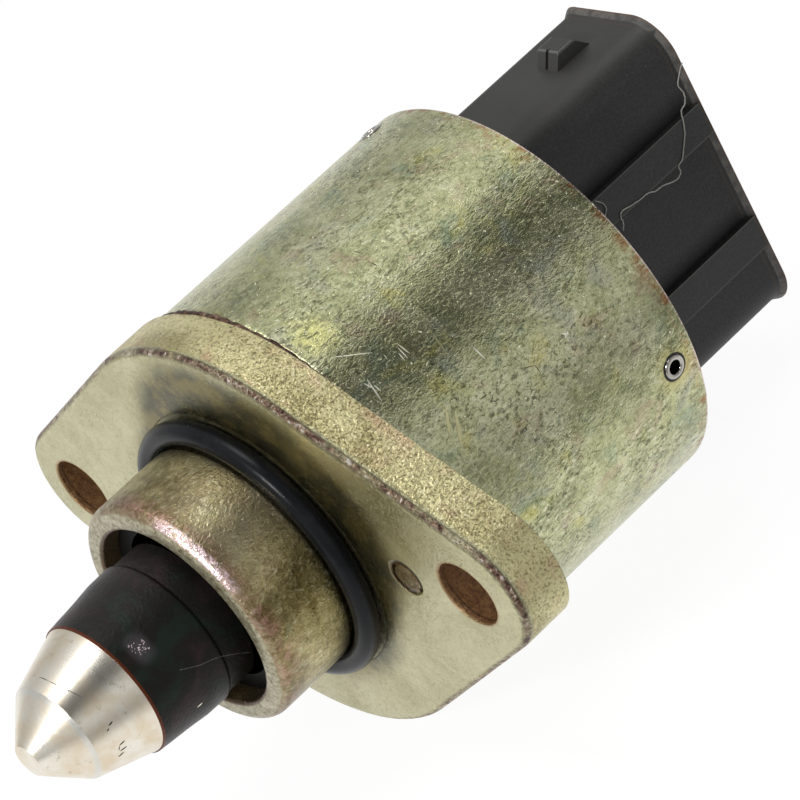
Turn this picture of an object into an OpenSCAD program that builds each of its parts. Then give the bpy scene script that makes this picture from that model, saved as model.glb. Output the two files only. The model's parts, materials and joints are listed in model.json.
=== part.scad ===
// Idle air control valve: a stepper motor in a drawn steel can moves a cone-tipped pintle.
// Millimetres. The origin is the centre of the flange's sealing face, +Z points to the plug socket.
// The two bolt holes lie on the X axis and the pintle points along -Z.

/* [Canister] */
// Sheet thickness of the can
can_wall = 1.2; // [0.9:0.1:1.4]
// Height of the can from the flange to its open rim
can_len = 26.1; // [25.5:0.1:29]
// Outer radius of the can's drawn corner
can_corner = 0.6; // [0.5:0.1:1]
// Radius inside that corner
can_fillet = 0.8; // [0.5:0.1:0.9]
// Room for the coils, from the collar to the can's side
coil_room = 7.6; // [7:0.1:9]

/* [Mounting flange] */
// Thickness of the flange plate
flange_t = 4.8; // [4:0.1:5.4]
// Distance from the can's side to the middle of a bolt hole
hole_reach = 6.4; // [5.6:0.1:9]
// Diameter of a bolt hole
hole_d = 5.8; // [5:0.1:6.4]
// Radius of the ear round a bolt hole
ear_r = 5.7; // [5:0.1:7]
// How far the plate's long edges stand out beyond the can
edge_over = 0.1; // [0:0.05:1]
// How much the radius of the two bowed long edges exceeds the half width
bow_over = 3.0; // [2:0.1:5]
// Radius rolled on the front edge by the blanking die
die_roll = 0.7; // [0.4:0.1:1.2]

/* [Nose collar] */
// Outer diameter of the collar that enters the throttle body
collar_d = 20.8; // [20:0.1:22]
// Wall of the collar
collar_wall = 2.0; // [1.6:0.1:2.2]
// Round on the collar's outer front edge
lip_round = 1.0; // [0.6:0.1:1.2]
// Reach of the collar in front of the flange
collar_reach = 9.4; // [8.6:0.1:10.4]
// Height of the clinched shoulder inside the can
collar_shoulder_t = 1.0; // [0.8:0.1:1.4]

/* [Seal rings] */
// Section of the ring that seals the collar
ring_section = 2.0; // [1.6:0.1:2.4]
// Depth of the seat turned into the collar for that ring
ring_seat = 0.2; // [0.2:0.05:0.4]
// Section of the ring that seals the socket base in the can
base_ring_section = 1.25; // [1:0.05:1.4]

/* [Pintle] */
// Reach of the seam between sleeve and tip, in front of the flange
pintle_reach = 18.0; // [17.4:0.1:19]
// Distance from the collar's rim to the back edge of the black sleeve
sleeve_gap = 1.6; // [1:0.1:2.4]
// How much the sleeve's radius falls from its widest part to the seam
sleeve_taper = 0.53; // [0.3:0.01:0.8]
// Step from the sleeve down to its neck
neck_step = 0.2; // [0.1:0.05:0.4]
// Length of the first cone of the tip
cone_len = 5.0; // [4:0.1:6]
// Length of the steep end cone
nose_len = 3.2; // [2.4:0.1:4]
// How much the radius falls along the first cone
cone_drop = 1.7; // [1.2:0.1:2.1]
// How much the radius falls along the end cone
nose_drop = 3.0; // [2.4:0.1:3.6]
// Travel of the pintle from here into the body
travel_in = 8.0; // [6:0.5:8.5]
// Travel of the pintle from here out of the body
travel_out = 2.0; // [1:0.5:3]

/* [Drive] */
// Outer diameter of the lead screw's thread
screw_d = 6.0; // [5:0.1:6.4]
// Depth of each of the screw's two guiding flats
flat_depth = 0.5; // [0.4:0.05:0.7]
// Length of the bronze nut in the rotor
nut_len = 6.5; // [5.5:0.1:8]
// Wall of the rotor's front journal, between the screw's bore and the bearing
journal_wall = 0.8; // [0.7:0.1:1.2]
// Height of the ball bearing from bore to outside
bearing_h = 4.0; // [3.6:0.1:4.4]
// Width of the ball bearing
bearing_w = 4.0; // [3.6:0.1:4.6]
// Number of balls
ball_count = 9; // [7:1:9]
// Radial running clearance of journals and guides
run_clear = 0.05; // [0.03:0.01:0.08]

/* [Stator] */
// Gap between magnet and pole teeth
air_gap = 0.4; // [0.3:0.05:0.6]
// Thickness of the pole sheet
pole_sheet = 1.0; // [0.8:0.1:1.2]
// Teeth on each pole plate
tooth_count = 12; // [8:1:12]
// Wall thickness of the bobbins
bobbin_wall = 0.7; // [0.5:0.1:0.9]

/* [Plug socket] */
// Width of the socket across its ribs
plug_w = 12.5; // [12:0.1:14]
// Distance from the can's side to the end of the socket's long side
plug_margin = 4.2; // [3.8:0.1:5]
// Reach of the socket behind the can's rim
plug_reach = 18.1; // [16.5:0.1:21]
// Radius of the socket's two corners on the ribbed side
plug_round = 3.0; // [2:0.1:3.4]
// Radius of the two corners on the plain side
plug_corner = 1.4; // [1:0.1:2]
// Depth of the panels that stand back from ribs and lip
panel_step = 0.6; // [0.4:0.1:0.8]
// Height over which the mouth flares out to its lip
lip_h = 0.8; // [0.6:0.1:1.4]
// Width of each keying rib
rib_w = 2.95; // [2.4:0.05:3.6]
// Wall of the socket's shroud
plug_wall = 1.2; // [1:0.1:1.4]
// Depth of the socket from its mouth
plug_depth = 15.0; // [13:0.1:15.6]
// Thickness of the socket's round base
base_t = 5.0; // [4.9:0.1:5.4]
// How far the base lies below the can's rim
rim_recess = 0.7; // [0.4:0.1:1]

/* [Latch] */
// Width of the latch ramp
latch_w = 2.5; // [2:0.1:4]
// Height of the latch ramp
latch_h = 1.3; // [0.8:0.1:1.8]
// Length of the latch ramp at its foot
latch_len = 3.8; // [3.4:0.1:5]
// Width of the groove down the latch ramp's steep face
latch_groove = 0.35; // [0.2:0.05:0.6]
// Distance from the latch's foot to the mouth
latch_inset = 3.5; // [3:0.1:5]

/* [Terminals] */
// Number of terminals
pin_count = 4; // [2:1:4]
// Spacing of the terminals
pin_pitch = 4.5; // [4:0.1:5]
// Width of a terminal blade
blade_w = 1.5; // [1.2:0.1:1.8]
// Thickness of a terminal blade
blade_t = 0.8; // [0.6:0.1:0.9]
// How far the blades stop behind the mouth
blade_inset = 5.5; // [5:0.1:7]

/* [Retaining pins] */
// Outer diameter of a tubular pin
rpin_d = 2.0; // [1.6:0.1:2.2]
// Bore of a tubular pin
rpin_bore = 1.1; // [0.8:0.1:1.2]
// Distance of the pins from the can's rim
rpin_inset = 2.3; // [2.1:0.1:2.5]
// Angle of the first pin from the +X axis
rpin_phase = 8; // [0:1:20]
// Number of pins
rpin_count = 3; // [2:1:3]

/* [Hidden] */
$fn = 96;
e = 0.01;                                       // a cut runs this far past a face

// Steel shell
collar_r = collar_d / 2;
can_r = collar_r + coil_room;
can_d = 2 * can_r;
can_in_r = can_r - can_wall;
can_front = flange_t + can_wall;                // inner face of the can's floor
can_rim = flange_t + can_len;
hole_pitch = 2 * (can_r + hole_reach);
waist_r = can_r + edge_over;
bow_r = waist_r + bow_over;
collar_bore_r = collar_r - collar_wall;
shoulder_w = 1.6;                               // the clinched shoulder is this much wider than the collar
ring_r = collar_r - ring_seat + ring_section / 2 + 0.02;
spot_depth = 0.05;                              // spot face on the flange under the ring

// Guide bush and front bearing inside the collar, counted forward from the can's floor
screw_r = screw_d / 2;
bore_gap = 0.2;                                 // room round the screw in the rotor
bearing_bore = 2 * (screw_r + bore_gap + journal_wall);
bearing_od = bearing_bore + 2 * bearing_h;
bearing_r = bearing_od / 2;
bearing_lip = 1.0;                              // height of the collar's web in front of the bearing
bearing_sunk = 1.0;                             // the bearing starts this far in front of the can's floor
bearing_z = can_front - bearing_sunk;
bearing_seat = 0.4;                             // the collar stands this far past the bearing
collar_back = bearing_z + bearing_w + bearing_seat;
stop_t = 0.6;                                   // collar web between bush and bearing
guide_len = 4.0;
bush_back = bearing_z - stop_t;
pocket_floor = bush_back - guide_len;
bush_recess = 1.8;                              // the bush lies this far behind the collar's rim
bush_front = -collar_reach + bush_recess;
bush_wall = 1.4;
pocket_gap = 0.35;                              // room round the sleeve in the bush
pocket_r = collar_bore_r - bush_wall;
ball_r = 0.3 * bearing_h;
ball_pitch_r = (bearing_od + bearing_bore) / 4;
race_gap = 0.35 * bearing_h;                    // open height between the two rings
ball_play = 0.03;
cage_h = 0.75 * bearing_w;
cage_t = 0.15 * bearing_h;

// Pintle, from its tip to its neck
sleeve_r = pocket_r - pocket_gap;
sleeve_d = 2 * sleeve_r;
seam_r = sleeve_r - sleeve_taper;
ridge_r = seam_r - cone_drop;
flat_r = ridge_r - nose_drop;
sleeve_back = -collar_reach - sleeve_gap;
sleeve_len = pintle_reach + sleeve_back;
shoulder_r = 0.45;                              // round on the back edge of the sleeve
neck_r = sleeve_r - neck_step;
neck_room = 0.8;                                // left between neck and pocket floor at full travel
neck_back = pocket_floor - travel_in - neck_room;
screw_flats = screw_d - 2 * flat_depth;
shank_r = screw_r - 0.8;                        // screw shank inside sleeve and tip
shank_front = -pintle_reach - 3.0;
tip_edge = 0.3;                                 // small land at the base of the tip

// Socket base, stator stack and rotor
base_back = can_rim - rim_recess;
base_front = base_back - base_t;
stator_r = can_in_r - 0.05;
stator_front = can_front + collar_shoulder_t;
stator_back = base_front - 0.2;
coil_len = (stator_back - stator_front) / 2;
teeth_r = collar_r + 0.2;                       // inner radius of the pole teeth
tooth_t = 0.8;
bobbin_in = teeth_r + tooth_t + 0.1;
bobbin_out = stator_r - pole_sheet - 0.1;
magnet_r = teeth_r - air_gap;
magnet_front = collar_back + 0.6;
magnet_back = stator_back - 0.6;
nut_wall = 1.6;
nut_r = screw_r + nut_wall;
hub_wall = 2.0;                                 // the hub's barrel is this thick round the nut
hub_r = nut_r + hub_wall;
hub_front = magnet_front - 0.3;
hub_back = stator_back - 0.4;
nut_front = magnet_front;
bore_r = screw_r + bore_gap;
journal_r = screw_r + nut_wall;
washer_room = 0.8;
washer_t = 0.25;
rear_bush_front = hub_back + washer_room;
rear_bush_wall = 2.4;
rear_bush_r = journal_r + rear_bush_wall;
web_t = 1.8;                                    // floor of the socket base behind the bush
rear_bush_back = base_back - web_t;
journal_back = rear_bush_back - 0.2;
journal_end = 2.7;                              // solid end of the rear journal
screw_room = journal_back - journal_end;        // depth of the hub's bore
screw_back = screw_room - 0.5 - travel_in;

// Socket
plug_l = can_d - 2 * plug_margin;
plug_mouth = can_rim + plug_reach;
body_w = plug_w - 2 * panel_step;
cavity_floor = plug_mouth - plug_depth;
rib_y = [-4.78, 6.5];                           // middles of the two keying ribs
base_r = can_in_r - 0.05;
base_ring_z = base_front + base_ring_section / 2 + 0.6;
bar_t = 0.8;
bar_z = base_back - 1.0;
post_x = bobbin_in + bobbin_wall;               // the posts go down to the coils' innermost turns
blade_back = plug_mouth - blade_inset;
lip_flare = 0.45;                               // the lip stands out this far at the mouth
latch_rise = 0.22 * latch_len;
rib_stop = 0.25;                                // the ribs end this far below the mouth
latch_x = -0.4;                                 // the latch ramp lies this far off the middle
rpin_z = can_rim - rpin_inset;
rpin_len = 3.4;
rpin_proud = 0.15;                              // the pins stand out this far

module olive_zinc() { color([0.66, 0.63, 0.45]) children(); }
module black_plastic() { color([0.16, 0.16, 0.17]) children(); }
module steel() { color([0.75, 0.76, 0.78]) children(); }
module sheet_steel() { color([0.55, 0.56, 0.58]) children(); }

// A plain tube between two heights
module tube(r_out, r_in, z0, z1) {
    translate([0, 0, z0]) difference() {
        cylinder(r = r_out, h = z1 - z0);
        translate([0, 0, -e]) cylinder(r = r_in, h = z1 - z0 + 2 * e);
    }
}

// A solid of revolution whose section is drawn in radius and height
module turned() { rotate_extrude() children(); }

// A box in section between two radii and two heights
module section(r0, r1, z0, z1) { translate([r0, z0]) square([r1 - r0, z1 - z0]); }

module ring(r_mid, section_d, z) {
    turned() translate([r_mid, z]) circle(d = section_d, $fn = 48);
}

// Points on an arc, from angle a0 to angle a1
function arc(x, y, r, a0, a1, n) = [for (i = [0 : n]) let (a = a0 + (a1 - a0) * i / n) [x + r * cos(a), y + r * sin(a)]];

// Outline of the flange, drawn smaller by inset: two ears and two bowed edges joined by their common tangents
function flange_outline(inset) =
    let (k = bow_r - waist_r, half = hole_pitch / 2)
    let (a = atan2(k, half) + acos((bow_r - ear_r) / sqrt(half * half + k * k)))
    concat(arc(half, 0, ear_r - inset, -a, a, 20), arc(0, -k, bow_r - inset, a, 180 - a, 26),
        arc(-half, 0, ear_r - inset, 180 - a, 180 + a, 20), arc(0, k, bow_r - inset, 180 + a, 360 - a, 26));

// Solid through a stack of closed outlines, each a list of points with its own height
module loft(outlines, heights) {
    n = len(outlines[0]);
    last = len(outlines) - 1;
    pts = [for (j = [0 : last]) for (v = outlines[j]) [v[0], v[1], heights[j]]];
    sides = [for (j = [0 : last - 1]) for (i = [0 : n - 1])
        let (p = j * n + i, q = j * n + (i + 1) % n) for (f = [[p, q + n, q], [p, p + n, q + n]]) f];
    polyhedron(pts, concat([[for (i = [0 : n - 1]) i]], sides, [[for (i = [0 : n - 1]) last * n + n - 1 - i]]));
}

// Blanked plate: one loft from the rounded front edge to the square back edge
module flange_blank() {
    roll = [for (i = [0 : 4]) let (a = 90 - 22.5 * i) die_roll * [1 - cos(a), 1 - sin(a)]];
    loft([for (q = concat(roll, [[0, 0]])) flange_outline(q[0])], concat([for (q = roll) q[1]], [flange_t]));
}

module mounting_flange() {
    olive_zinc() difference() {
        flange_blank();
        translate([0, 0, -1]) cylinder(r = collar_r, h = flange_t + 2);
        translate([0, 0, -1]) cylinder(r = ring_r + ring_section / 2 + 0.04, h = 1 + spot_depth);
        for (s = [-1, 1]) translate([s * hole_pitch / 2, 0, -1]) cylinder(d = hole_d, h = flange_t + 2);
    }
}

// Section of a cup with a rounded corner, open at the top
module cup_section(r, z0, z1, corner) {
    translate([0, z0 + corner]) square([r, z1 - z0 - corner]);
    translate([0, z0]) square([r - corner, corner]);
    translate([r - corner, z0 + corner]) circle(r = corner, $fn = 48);
}

module canister() {
    olive_zinc() difference() {
        turned() difference() {
            intersection() {
                cup_section(can_r, flange_t, can_rim, can_corner);
                square([can_r + 1, can_rim + 1]);
            }
            cup_section(can_in_r, can_front, can_rim + 1, can_fillet);
            translate([-1, 0]) square([collar_r + 1, can_rim]);
        }
        retaining_holes();
    }
}

// Radial holes shared by the can and the socket base
module retaining_holes() {
    for (i = [0 : rpin_count - 1])
        rotate([0, 0, rpin_phase + i * 360 / rpin_count]) translate([can_r + rpin_proud - rpin_len, 0, rpin_z])
            rotate([0, 90, 0]) cylinder(d = rpin_d, h = rpin_len + 1);
}

module retaining_pins() {
    steel() for (i = [0 : rpin_count - 1])
        rotate([0, 0, rpin_phase + i * 360 / rpin_count]) translate([can_r + rpin_proud - rpin_len, 0, rpin_z])
            rotate([0, 90, 0]) difference() {
                cylinder(d = rpin_d, h = rpin_len);
                translate([0, 0, -e]) cylinder(d = rpin_bore, h = rpin_len + 2 * e);
            }
}

// Turned collar: rounded front rim, web for the bearing and a shoulder clinched over the can's floor
module nose_collar() {
    rim_back = -collar_reach + lip_round;
    bore_edge = 0.3;
    olive_zinc() turned() difference() {
        union() {
            translate([collar_r - lip_round, rim_back]) circle(r = lip_round, $fn = 48);
            translate([collar_bore_r + bore_edge, -collar_reach + bore_edge]) circle(r = bore_edge, $fn = 24);
            section(collar_bore_r + bore_edge, collar_r - lip_round, -collar_reach, rim_back);
            section(collar_bore_r, collar_r - lip_round, -collar_reach + bore_edge, rim_back);
            section(collar_bore_r, collar_r, rim_back, bush_back);
            section(bearing_r - bearing_lip, collar_r, bush_back, bearing_z);
            section(bearing_r, collar_r, bearing_z, collar_back);
            section(collar_r - 0.5, collar_r + shoulder_w, can_front, can_front + collar_shoulder_t);
        }
        section(0, bearing_r - bearing_lip, -collar_reach, collar_back + 1);
        section(collar_r - ring_seat, collar_r + 1, -ring_section - 0.02, 0);
    }
}

module seal_ring() {
    color([0.20, 0.22, 0.24]) ring(ring_r, ring_section, -ring_section / 2);
}

// Moulded bush: a pocket for the sleeve and a web with a flat-sided hole that keeps the screw from turning
module guide_bush() {
    black_plastic() difference() {
        turned() difference() {
            section(0, collar_bore_r, bush_front, bush_back);
            section(-1, pocket_r, bush_front - 1, pocket_floor);
        }
        translate([0, 0, pocket_floor - 1]) linear_extrude(height = guide_len + 2) screw_outline(run_clear);
    }
}

// Round bar with two flats, drawn larger by grow
module screw_outline(grow) {
    intersection() {
        circle(r = screw_r + grow);
        square([screw_flats + 2 * grow, screw_d + 2], center = true);
    }
}

module lead_screw() {
    steel() {
        translate([0, 0, shank_front]) cylinder(r = shank_r, h = neck_back - shank_front);
        translate([0, 0, neck_back]) linear_extrude(height = screw_back - neck_back) screw_outline(0);
    }
}

// Barrel-shaped sleeve: long taper to the seam, round back edge and the neck that enters the bush
module pintle_sleeve() {
    black_plastic() turned() difference() {
        union() {
            polygon([[0, -pintle_reach], [seam_r, -pintle_reach], [seam_r + 0.22 * sleeve_taper, -pintle_reach + 0.17 * sleeve_len],
                [sleeve_r - 0.45 * sleeve_taper, -pintle_reach + 0.45 * sleeve_len],
                [sleeve_r - 0.08 * sleeve_taper, -pintle_reach + 0.68 * sleeve_len],
                [sleeve_r, sleeve_back - shoulder_r], [0, sleeve_back - shoulder_r]]);
            translate([sleeve_r - shoulder_r, sleeve_back - shoulder_r]) circle(r = shoulder_r, $fn = 48);
            section(0, neck_r, sleeve_back - shoulder_r, neck_back);
        }
        section(-sleeve_d, shank_r, -pintle_reach - 1, neck_back + 1);
    }
}

module pintle_tip() {
    ridge = -pintle_reach - cone_len;
    color([0.82, 0.80, 0.76]) turned() difference() {
        polygon([[0, -pintle_reach], [seam_r - 0.1, -pintle_reach], [seam_r - 0.22, -pintle_reach - tip_edge],
            [ridge_r, ridge], [flat_r, ridge - nose_len], [0, ridge - nose_len]]);
        section(-1, shank_r, shank_front, -pintle_reach + 1);
    }
}

module drive_nut() {
    color([0.72, 0.55, 0.28]) tube(nut_r, screw_r + run_clear, nut_front, nut_front + nut_len);
}

// Moulded hub: front journal in the ball bearing, barrel for the magnet, blind rear journal
module rotor_hub() {
    black_plastic() turned() difference() {
        union() {
            section(0, bearing_bore / 2, bearing_z, hub_front);
            section(0, ball_pitch_r - race_gap / 2, bearing_z + bearing_w, hub_front);
            section(0, hub_r, hub_front, hub_back);
            section(0, journal_r, hub_back - e, journal_back);
        }
        section(-1, bore_r, bearing_z - 1, screw_room);
        section(-1, nut_r, nut_front, nut_front + nut_len);
    }
}

module rotor_magnet() { color([0.30, 0.29, 0.30]) tube(magnet_r, hub_r, magnet_front, magnet_back); }

// Section of the groove that the balls leave free in a bearing ring
module ball_groove() {
    translate([ball_pitch_r, bearing_z + bearing_w / 2]) circle(r = ball_r + ball_play, $fn = 48);
}

module bearing_outer_ring() {
    steel() turned() difference() {
        section(ball_pitch_r + race_gap / 2, bearing_r, bearing_z, bearing_z + bearing_w);
        ball_groove();
    }
}

module bearing_inner_ring() {
    steel() turned() difference() {
        section(bearing_bore / 2, ball_pitch_r - race_gap / 2, bearing_z, bearing_z + bearing_w);
        ball_groove();
    }
}

module at_balls() {
    for (i = [0 : ball_count - 1]) rotate([0, 0, i * 360 / ball_count])
        translate([ball_pitch_r, 0, bearing_z + bearing_w / 2]) children();
}

module bearing_balls() { color([0.85, 0.86, 0.88]) at_balls() sphere(r = ball_r, $fn = 32); }

module bearing_cage() {
    mid = bearing_z + bearing_w / 2;
    color([0.72, 0.60, 0.35]) difference() {
        tube(ball_pitch_r + cage_t / 2, ball_pitch_r - cage_t / 2, mid - cage_h / 2, mid + cage_h / 2);
        at_balls() sphere(r = ball_r + ball_play, $fn = 32);
    }
}

// Pole teeth that taper from root to tip, bent up from the inner edge of a plate
module pole_teeth(root_z, tip_z, turn) {
    pitch_w = 2 * PI * teeth_r / (2 * tooth_count);
    intersection() {
        tube(teeth_r + tooth_t, teeth_r, min(root_z, tip_z), max(root_z, tip_z));
        for (i = [0 : tooth_count - 1]) rotate([0, 0, turn + i * 360 / tooth_count])
            translate([teeth_r - 1, 0, 0]) rotate([90, 0, 90]) linear_extrude(height = tooth_t + 2)
                polygon([[-0.39 * pitch_w, root_z], [0.39 * pitch_w, root_z],
                    [0.22 * pitch_w, tip_z], [-0.22 * pitch_w, tip_z]]);
    }
}

// Outer pole cup of one coil, with its closed end at z0 and its open end at z1
module pole_cup(z0, z1, turn) {
    s = sign(z1 - z0);
    sheet_steel() {
        tube(stator_r, stator_r - pole_sheet, min(z0, z1), max(z0, z1));
        tube(stator_r - pole_sheet / 2, teeth_r, min(z0, z0 + s * pole_sheet), max(z0, z0 + s * pole_sheet));
        pole_teeth(z0 + s * (pole_sheet - e), z1 - s * (pole_sheet + 0.6), turn);
    }
}

// Inner pole plate that closes a cup at z1
module pole_plate(z0, z1, turn) {
    s = sign(z1 - z0);
    sheet_steel() {
        tube(stator_r - pole_sheet, teeth_r, min(z1, z1 - s * pole_sheet), max(z1, z1 - s * pole_sheet));
        pole_teeth(z1 - s * (pole_sheet - e), z0 + s * (pole_sheet + 0.6), turn);
    }
}

stator_mid = (stator_front + stator_back) / 2;
half_pitch = 180 / tooth_count;
module front_pole_cup() { pole_cup(stator_front, stator_mid, 0); }
module front_pole_plate() { pole_plate(stator_front, stator_mid, half_pitch); }
module rear_pole_plate() { pole_plate(stator_back, stator_mid, half_pitch / 2 + half_pitch); }
module rear_pole_cup() { pole_cup(stator_back, stator_mid, half_pitch / 2); }

module bobbin(z0) {
    z1 = z0 + coil_len - 2 * pole_sheet;
    color([0.30, 0.32, 0.30]) turned() {
        section(bobbin_in, bobbin_in + bobbin_wall, z0, z1);
        section(bobbin_in, bobbin_out, z0, z0 + bobbin_wall);
        section(bobbin_in, bobbin_out, z1 - bobbin_wall, z1);
    }
}

module winding(z0) {
    z1 = z0 + coil_len - 2 * pole_sheet;
    color([0.72, 0.38, 0.20])
        tube(bobbin_out - 0.3, bobbin_in + bobbin_wall, z0 + bobbin_wall, z1 - bobbin_wall);
}

module front_bobbin() { bobbin(stator_front + pole_sheet); }
module rear_bobbin() { bobbin(stator_mid + pole_sheet); }
module front_winding() { winding(stator_front + pole_sheet); }
module rear_winding() { winding(stator_mid + pole_sheet); }

// Three-wave spring washer between the rotor and the rear bush
module wave_washer() {
    n = 36;
    r0 = journal_r + 0.3;
    r1 = rear_bush_r - 0.4;
    t = washer_t;
    lift = (washer_room - t) / 2 - 0.03;
    mid = hub_back + washer_room / 2;
    z = function(i) mid + lift * sin(3 * i * 360 / n);
    pts = [for (i = [0 : n - 1]) let (a = i * 360 / n)
        for (q = [[r0, -t / 2], [r1, -t / 2], [r1, t / 2], [r0, t / 2]]) [q[0] * cos(a), q[0] * sin(a), z(i) + q[1]]];
    faces = [for (i = [0 : n - 1]) for (k = [0 : 3])
        let (a = 4 * i + k, b = 4 * i + (k + 1) % 4, c = 4 * ((i + 1) % n) + (k + 1) % 4, d = 4 * ((i + 1) % n) + k)
        for (f = [[a, c, b], [a, d, c]]) f];
    steel() polyhedron(pts, faces);
}

module rear_bush() { color([0.70, 0.52, 0.30]) tube(rear_bush_r, journal_r + run_clear, rear_bush_front, rear_bush_back); }

module base_seal_ring() {
    color([0.12, 0.12, 0.13]) ring(can_in_r - base_ring_section / 2 - 0.02, base_ring_section, base_ring_z);
}

// The socket's four corners: round ones on the ribbed side, tighter ones on the plain side
module at_corner(side, end, r) {
    translate([side * (body_w / 2 - r), end * (plug_l / 2 - r), 0]) children();
}

module socket_section() {
    w = body_w / 2;
    l = plug_l / 2;
    translate([plug_corner - w, -l]) square([2 * w - plug_round - plug_corner, 2 * l]);
    translate([-w, plug_corner - l]) square([plug_corner + 1, 2 * (l - plug_corner)]);
    translate([w - plug_round - 1, plug_round - l]) square([plug_round + 1, 2 * (l - plug_round)]);
    for (k = [-1, 1]) {
        at_corner(-1, k, plug_corner) circle(r = plug_corner, $fn = 48);
        at_corner(1, k, plug_round) circle(r = plug_round);
    }
}

// Section of the lip along one side, drawn outwards from the panel
module lip_section() { polygon([[-plug_wall - 0.1, 0], [0, 0], [lip_flare, lip_h], [-plug_wall - 0.1, lip_h]]); }

// Lip that flares out round the mouth: a cone at each corner and a wedge along each side
module socket_lip() {
    w = body_w / 2;
    l = plug_l / 2;
    for (k = [-1, 1]) {
        at_corner(-1, k, plug_corner) cylinder(r1 = plug_corner, r2 = plug_corner + lip_flare, h = lip_h, $fn = 48);
        at_corner(1, k, plug_round) cylinder(r1 = plug_round, r2 = plug_round + lip_flare, h = lip_h);
    }
    translate([w, l - plug_round, 0]) rotate([90, 0, 0]) linear_extrude(height = 2 * (l - plug_round)) lip_section();
    translate([-w, plug_corner - l, 0]) rotate([90, 0, 180]) linear_extrude(height = 2 * (l - plug_corner)) lip_section();
    translate([plug_corner - w, l, 0]) rotate([90, 0, 90]) linear_extrude(height = 2 * w - plug_corner - plug_round) lip_section();
    translate([w - plug_round, -l, 0]) rotate([90, 0, -90])
        linear_extrude(height = 2 * w - plug_corner - plug_round) lip_section();
}

// Rectangle with round corners, centred on the axis
module round_rect(w, l, r) {
    square([w - 2 * r, l], center = true);
    square([w, l - 2 * r], center = true);
    for (sx = [-1, 1]) for (sy = [-1, 1]) translate([sx * (w / 2 - r), sy * (l / 2 - r)]) circle(r = r, $fn = 48);
}

// Ramp that the plug's latch snaps over: steep towards the can, flat on top, sloping towards the mouth
module latch_ramp() {
    foot = plug_mouth - latch_inset - latch_len;
    translate([latch_x - latch_w / 2, -plug_l / 2, foot]) difference() {
        rotate([90, 0, 90]) linear_extrude(height = latch_w)
            polygon([[plug_wall / 2, 0], [0, 0], [-latch_h, latch_rise], [-latch_h, 0.66 * latch_len],
                [0, latch_len], [plug_wall / 2, latch_len]]);
        translate([0.4 * latch_w, 0, 0]) rotate([90, 0, 90]) linear_extrude(height = latch_groove)
            polygon([[0, -1], [0, 0.25], [-latch_h, latch_rise + 0.25], [-latch_h - 1, latch_rise + 0.25], [-latch_h - 1, -1]]);
    }
}

module plug_socket() {
    black_plastic() difference() {
        union() {
            translate([0, 0, base_front]) cylinder(r = base_r, h = base_t);
            translate([0, 0, base_back - e]) linear_extrude(height = plug_mouth - lip_h - base_back + e) socket_section();
            translate([0, 0, plug_mouth - lip_h]) socket_lip();
            for (y = rib_y) translate([0, y - rib_w / 2, base_back - e])
                cube([plug_w / 2, rib_w, plug_mouth - base_back + e - rib_stop]);
            latch_ramp();
        }
        translate([0, 0, cavity_floor]) linear_extrude(height = plug_depth + 1)
            round_rect(body_w - 2 * plug_wall, plug_l - 2 * plug_wall, plug_corner / 2);
        translate([0, 0, base_front - 1]) cylinder(r = rear_bush_r, h = rear_bush_back - base_front + 1);
        turned() section(can_in_r - base_ring_section - 0.04, can_r, base_ring_z - base_ring_section / 2 - 0.1,
            base_ring_z + base_ring_section / 2 + 0.1);
        retaining_holes();
        terminals();
    }
}

// Bent terminals: a blade in the socket, a bar inside the base and a post down to the coils
module terminals() {
    steel() for (i = [0 : pin_count - 1]) {
        y = (i - (pin_count - 1) / 2) * pin_pitch;
        s = i % 2 == 0 ? 1 : -1;
        bevel = blade_w * 0.3;
        translate([-blade_t / 2, y, 0]) rotate([90, 0, 90]) linear_extrude(height = blade_t)
            polygon([[-blade_w / 2, bar_z], [blade_w / 2, bar_z], [blade_w / 2, blade_back - bevel * 2],
                [blade_w / 2 - bevel, blade_back], [-blade_w / 2 + bevel, blade_back], [-blade_w / 2, blade_back - bevel * 2]]);
        translate([s > 0 ? -blade_t / 2 : -post_x - blade_t / 2, y - blade_w / 2, bar_z]) cube([post_x + blade_t, blade_w, bar_t]);
        translate([s * post_x - blade_t / 2, y - blade_w / 2, base_front]) cube([blade_t, blade_w, bar_z - base_front + e]);
    }
}

mounting_flange();
canister();
nose_collar();
seal_ring();
guide_bush();
pintle_sleeve();
pintle_tip();
lead_screw();
drive_nut();
rotor_hub();
rotor_magnet();
bearing_outer_ring();
bearing_inner_ring();
bearing_balls();
bearing_cage();
front_pole_cup();
front_pole_plate();
rear_pole_plate();
rear_pole_cup();
front_bobbin();
rear_bobbin();
front_winding();
rear_winding();
wave_washer();
rear_bush();
base_seal_ring();
plug_socket();
terminals();
retaining_pins();
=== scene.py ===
# Idle air control valve: finishes, surface detail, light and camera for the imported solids.
import json
import math
import random

import bmesh
import bpy
from mathutils import Matrix, Vector, noise

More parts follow.
